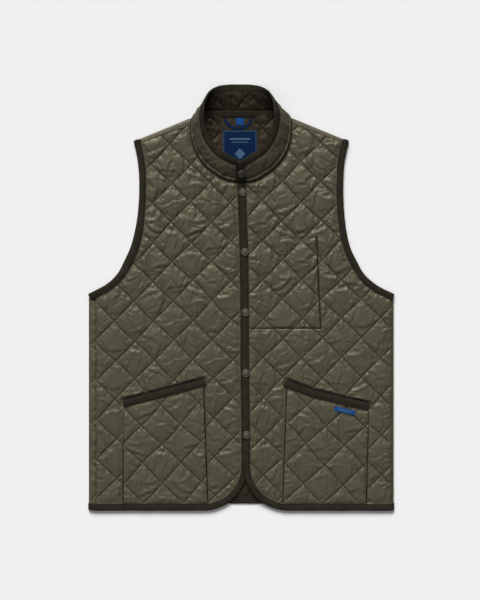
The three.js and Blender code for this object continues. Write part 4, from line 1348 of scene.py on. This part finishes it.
# Collar
def add_collar():
    quilting = Quilting("collar", seed=91, wander=0.6)
    inset = BINDING_WIDTH - TUCK
    end, high = COLLAR_LENGTH - inset, COLLAR_HEIGHT - inset
    outline = even_ring(np.array([(inset, 0), (end, 0), (end, high), (inset, high)]), 2.6)

    def swelled(points, puff, seed, groove=GROOVE_DEPTH):
        s, v = points.T
        ends = np.minimum(s, COLLAR_LENGTH - s) - BINDING_WIDTH
        up = COLLAR_HEIGHT - BINDING_WIDTH - v
        tuck = np.minimum(ends, up)
        near = smooth((np.minimum(tuck, v) + 2) / 12)
        moved, height = quilted(quilting, points, near, puff, groove)
        height -= STITCH_HEIGHT
        drawn = points * [1.0, 0.45] + [0, 300]
        height += (0.45 * waves(drawn, 8, seed + 3) + 0.45 * waves(drawn, 19, seed + 4)) * near
        height += puckers(up, s, seed, 0.7, 8) + puckers(v, s, seed + 1, 0.7, 8)
        height += puckers(ends, v, seed + 2, 0.6, 8)
        height = mix(-0.9, height, smooth((tuck + 0.5) / 3))
        height = mix(-1.6, height, np.sqrt(smooth(v / 4)))
        return moved[:, 0], np.clip(moved[:, 1], 0, None), height

    def outer(points):
        s, v, height = swelled(points, 0.3, 91, 0.3)
        flat_v = points[:, 1]
        height += ROLL * np.exp(-(((flat_v - 6.0) / 1.4) ** 2)) - 1.3 * np.exp(-(((flat_v - 9.4) / 1.5) ** 2))
        mouth_shadow = smooth((collar_normal(*points.T)[:, 2] + 0.6) / 0.5)
        return collar_place(s, v, WALL - 0.6 + height * mouth_shadow)

    def inner(points):
        return collar_place(*points.T, level(points, 1.4))

    def lining_top(points):
        s, v, height = swelled(points, 0.55, 95)
        return collar_place(s, v, 0.2 - height)

    def lining_under(points):
        return collar_place(*points.T, level(points, 1.3))

    lines = quilting.groove_lines(outline)
    under_collar = ["front_left_cloth", "front_right_cloth", "back_shell"]
    add_sheet("collar_shell", outline, lines, outer, inner, SHADED_COLLAR_SHELL, "shell", "collar", under_collar,
              seed=91, coarse=5.0)
    add_sheet("collar_lining", outline, lines, lining_top, lining_under, SHADED_COLLAR_LINING, "lining", "collar",
              ["collar_shell"], seed=92, coarse=5.0)
    runs = lines_on(lining_top, outline, quilting.lines(outline), TUCK)
    add_stitches("stitches_collar", runs, QUILT_STITCH, slot="lining")


# Pockets
def add_pocket(side):
    name = f"pocket_{side}"
    quilting = Quilting(name, seed=101 + ORDER[side])
    mouth = curve_through(POCKET_MOUTH[side], MESH_STEP)
    first, last = POCKET_FOOT[side]
    low_y = FRONT_HEM + BINDING_WIDTH + 0.5
    outline = np.vstack([offset(mouth, POCKET_BINDING_WIDTH - TUCK), (first, low_y), (last, low_y)])
    edge = offset(on_side(EDGE_PATH[side], side), BINDING_WIDTH + 0.5)
    if side == "right":
        outline = trimmed_corner(outline, edge)
    outline = even_ring(outline, MESH_STEP)
    mouth_in = offset(mouth, POCKET_BINDING_WIDTH)
    sides = [np.array([mouth[-1], (first, FRONT_HEM - 5)]), np.array([(last, FRONT_HEM - 5), mouth[0]])]

    def top(points):
        to_mouth, along_mouth = nearest(mouth_in, points)
        to_hem = nearest(edge, points)[0]
        by_side = [nearest(line, points) for line in sides]
        seam = np.minimum(by_side[0][0], by_side[1][0])
        near = smooth((np.min([to_mouth, to_hem, seam], axis=0) + 1.5) / EDGE_TAPER)
        moved, height = quilted(quilting, points, near, 0.75)
        height += puckers(to_mouth, along_mouth, 110, 0.9)
        height += puckers(to_hem, points[:, 0] + 400, 111, 0.8)
        for k, (distance, along) in enumerate(by_side):
            height += puckers(distance, along, 112 + k, 1.0, 10)
        height = mix(2.2, height, smooth((to_mouth + 0.5) / 3))
        height = mix(0.6, height, np.sqrt(smooth((seam + 0.2) / 4)))
        height -= 0.9 * np.exp(-(((seam - SIDE_STITCH) / 1.2) ** 2))
        height = mix(1.0, height, np.sqrt(smooth((to_hem + 0.2) / 4)))
        if side == "left":
            height = mix(height, np.minimum(height, WALL - 0.2), tab_press(points))
        return np.column_stack([moved, POCKET_Z + height])

    def under(points):
        return np.column_stack([points, level(points, POCKET_Z)])

    lines = quilting.groove_lines(outline)
    add_sheet(f"{name}_cloth", outline, lines, top, under, SHELL, "shell", name, [f"front_{side}_cloth"],
              seed=quilting.seed)
    runs = lines_on(top, outline, quilting.lines(outline), 4)
    add_stitches(f"stitches_{name}", runs, QUILT_STITCH)
    # The side stitches are near-black, darker than thread: painted shade of the sunken side seams.
    sewn = [offset(resample(line, MESH_STEP), SIDE_STITCH + 0.3 * way) for line in sides for way in (-1, 1)]
    runs = [run + [0, 0, SIDE_STITCH_RISE] for run in lines_on(top, outline, sewn, 0.4)]
    add_stitches(f"stitches_{name}_sides", runs, SIDE_STITCHES, SHADE)


def trimmed_corner(outline, edge):
    """An outline kept on the left of an edge that cuts its corner."""
    dense = even_ring(outline, 1.0)
    good = nearest(edge, dense)[0] > 0
    if good.all():
        return outline
    start = np.flatnonzero(good & ~np.roll(good, 1))[0]
    dense, good = np.roll(dense, -start, axis=0), np.roll(good, -start)
    kept = dense[good]
    low, high = nearest(edge, kept[-1:])[1][0], nearest(edge, kept[:1])[1][0]
    total = lengths_along(edge)
    between = edge[(total > min(low, high)) & (total < max(low, high))]
    return np.vstack([kept, between if low < high else between[::-1]])


def tab_press(points):
    angle = math.radians(POCKET_LABEL["turn"])
    away = points - [POCKET_LABEL["x"], POCKET_LABEL["y"]]
    along = away @ [math.cos(angle), math.sin(angle)]
    across = away @ [-math.sin(angle), math.cos(angle)]
    gap = np.maximum(np.abs(along) - POCKET_LABEL["width"] / 2,
                     np.abs(across) - POCKET_LABEL["height"] / 2)
    return 1 - smooth((gap - 1) / 6)


# Snaps
SNAP_PROFILE = [
    (0.0, 2.25), (1.2, 2.24), (2.4, 2.2), (3.5, 2.08), (4.4, 1.85), (4.9, 1.4), (5.2, 1.05), (5.5, 1.3),
    (5.8, 1.75), (6.3, 1.98), (6.8, 1.85), (7.2, 1.5), (7.45, 1.0), (7.5, 0.5), (7.3, 0.05), (6.9, 0.0),
]


def add_snap(name, centre, normal, cad_node):
    sides = 56
    normal = unit(np.asarray(normal, float))
    first = unit(np.cross([0.0, 1.0, 0.0], normal))
    second = np.cross(normal, first)
    angles = np.linspace(0, 2 * math.pi, sides, endpoint=False)
    rows = [np.asarray(centre) + normal * SNAP_PROFILE[0][1]]
    for radius, height in SNAP_PROFILE[1:]:
        ring = np.outer(np.cos(angles), first) + np.outer(np.sin(angles), second)
        rows.append(centre + ring * radius + normal * height)
    points = np.vstack(rows)
    faces = [[0, 1 + k, 1 + (k + 1) % sides] for k in range(sides)]
    for row in range(len(SNAP_PROFILE) - 2):
        low = 1 + row * sides
        for k in range(sides):
            n = (k + 1) % sides
            faces.append([low + k, low + sides + k, low + sides + n, low + n])
    last = 1 + (len(SNAP_PROFILE) - 2) * sides
    faces.append([last + k for k in range(sides)][::-1])
    add_piece(name, points, outward(points, faces), METAL, "snap", cad_node, sharp=60)


def add_snaps():
    z = FRONT_Z + LIFT + WALL + GAP
    for k, (x, y) in enumerate(snap_spots()):
        add_snap(f"snap_cap_{k + 1}", np.array([x, y, z]), (0, 0, 1), f"snap_{k + 1}")
    spot = np.array([BINDING_WIDTH / 2]), np.array([COLLAR_HEIGHT / 2])
    centre = collar_place(*spot, np.array([WALL + 2 * GAP]))[0]
    add_snap("snap_cap_collar", centre, collar_normal(*spot)[0], "snap_collar")


# Labels and trim
def plate(name, box, low, thickness, material, slot, *nodes, crown=0.0, aside=(0, 0), size=None):
    """A thin woven plate, a little wavy, with a fine grid."""
    width, height = size or (box["width"], box["height"])
    columns, rows = max(int(width / 2), 2), max(int(height / 2), 2)
    x, y = np.meshgrid(np.linspace(-width / 2, width / 2, columns + 1),
                       np.linspace(-height / 2, height / 2, rows + 1))
    x, y = x.ravel() + aside[0], y.ravel() + aside[1]
    angle = math.radians(box["turn"])
    px = box["x"] + x * math.cos(angle) - y * math.sin(angle)
    py = box["y"] + x * math.sin(angle) + y * math.cos(angle)
    wave = crown * waves(np.column_stack([px, py]), 45, 7)
    top = np.column_stack([px, py, low + thickness + wave])
    under = np.column_stack([px, py, low + 0 * px])
    points = np.vstack([top, under])
    count, total = columns + 1, len(top)
    faces = []
    for i in range(rows):
        for j in range(columns):
            a = i * count + j
            quad = [a, a + 1, a + count + 1, a + count]
            faces += [quad, [total + k for k in quad[::-1]]]
    ring = list(range(count)) + [i * count + columns for i in range(1, rows + 1)]
    ring += [rows * count + j for j in range(columns - 1, -1, -1)]
    ring += [i * count for i in range(rows - 1, 0, -1)]
    for a, b in zip(ring, ring[1:] + ring[:1]):
        faces.append([b, a, total + a, total + b])
    return add_piece(name, points, outward(points, faces), material, slot, *nodes)


def add_labels():
    inside_z = WALL + GAP
    label = NECK_LABEL
    plate("neck_label_ribbon", label, inside_z, TAPE * 0.8, NAVY, "label", "neck_label", crown=0.15)
    rise = inside_z + TAPE * 0.75
    half_w, half_h = label["width"] / 2 - 1.6, label["height"] / 2 - 1.6
    for name, aside, size in (
        ("top", (0, half_h), (2 * half_w, 0.9)), ("bottom", (0, -half_h), (2 * half_w, 0.9)),
        ("left", (-half_w, 0), (0.9, 2 * half_h)), ("right", (half_w, 0), (0.9, 2 * half_h)),
        ("bar_wide", (0, 20), (38, 3.0)), ("bar_narrow", (0, 14.2), (30, 1.4)),
    ):
        plate(f"neck_label_{name}", label, rise, 0.35, PALE, "label", crown=0.15, aside=aside, size=size)
    tilted = {**label, "turn": 45}
    plate("neck_label_lozenge", tilted, rise, 0.35, PALE, "label", size=(14, 14), aside=(-5, -5))
    plate("size_tab_ribbon", SIZE_TAB, inside_z, TAPE, BLUE, "size_tab", "size_tab", crown=0.1)
    tab_z = LABEL_Z - GAP + 0.1
    plate("pocket_label_ribbon", POCKET_LABEL, tab_z, TAPE, BLUE, "label", "pocket_label", crown=0.1)
    plate("pocket_label_bar", POCKET_LABEL, LABEL_Z + TAPE - 0.4, 0.45, PALE, "label", size=(24, 2.2))

    flat = np.array([(-0.5, 0), (0.5, 0), (0.5, 0.9), (0.3, 1), (-0.3, 1), (-0.5, 0.9)])
    loop = curve_through(LOOP_ROUTE, 1.6)
    section = flat * [LOOP_WIDTH, TAPE]
    add_swept("hanger_loop_ribbon", loop, section, flat_place(inside_z), NAVY, "label", "hanger_loop")
    y = BACK_NECK - GAP - NECK_TAPE["width"] / 2
    half = NECK_TAPE["half_width"]
    path = resample([(-half, y), (half, y)], 2.5)
    rows = np.array([(-6, 0), (6, 0), (6, 0.5), (5.2, 0.95), (3, 1.15), (-3, 1.15), (-5.2, 0.95), (-6, 0.5)])
    add_swept("neck_tape_strip", path, rows, flat_place(inside_z), THREAD, "binding", "neck_tape")


# Studio
CAMERA_HEIGHT = 3.0
FRAME_HEIGHT = 1.098  # metres of floor from the picture's foot to its top
VIEW_CENTRE = (-0.0023, -0.0047)


def add_studio():
    scene = bpy.context.scene
    camera = bpy.data.objects.new("camera", bpy.data.cameras.new("camera"))
    camera.data.sensor_width = 36
    camera.data.lens = 36 * CAMERA_HEIGHT / FRAME_HEIGHT
    camera.location = (*VIEW_CENTRE, CAMERA_HEIGHT)
    scene.collection.objects.link(camera)
    scene.camera = camera

    size = 6.0
    mesh = bpy.data.meshes.new("floor")
    corners = [(-size, -size, 0), (size, -size, 0), (size, size, 0), (-size, size, 0)]
    mesh.from_pydata(corners, [], [(0, 1, 2, 3)])
    floor = bpy.data.objects.new("floor", mesh)
    scene.collection.objects.link(floor)
    mesh.materials.append(Look("floor_white", (0.79, 0.79, 0.79), 0.95).material)

    world = bpy.data.worlds.new("studio")
    world.use_nodes = True
    world.node_tree.nodes["Background"].inputs["Color"].default_value = (1, 1, 1, 1)
    world.node_tree.nodes["Background"].inputs["Strength"].default_value = 0.16
    scene.world = world
    for name, azimuth, elevation, spread, strength in (
        ("key", 99, 39, 32, 4.2),
        ("fill", 215, 62, 70, 0.35),
    ):
        lamp = bpy.data.lights.new(name, "SUN")
        lamp.angle = math.radians(spread)
        lamp.energy = strength
        holder = bpy.data.objects.new(name, lamp)
        a, e = math.radians(azimuth), math.radians(elevation)
        towards = Vector((math.cos(a) * math.cos(e), math.sin(a) * math.cos(e), math.sin(e)))
        holder.rotation_mode = "QUATERNION"
        holder.rotation_quaternion = (-towards).to_track_quat("-Z", "Y")
        holder.location = towards * 3
        scene.collection.objects.link(holder)
    scene.view_settings.view_transform = "Standard"


add_studio()
add_back()
add_lining()
add_back_hem_binding()
for side_name in SIDES:
    add_front(side_name)
    add_pocket(side_name)
    add_front_binding(side_name)
    add_armhole_binding(side_name)
    add_pocket_binding(side_name)
    add_pocket_mouth_shadow(side_name)
add_collar()
add_collar_binding()
add_snaps()
add_labels()
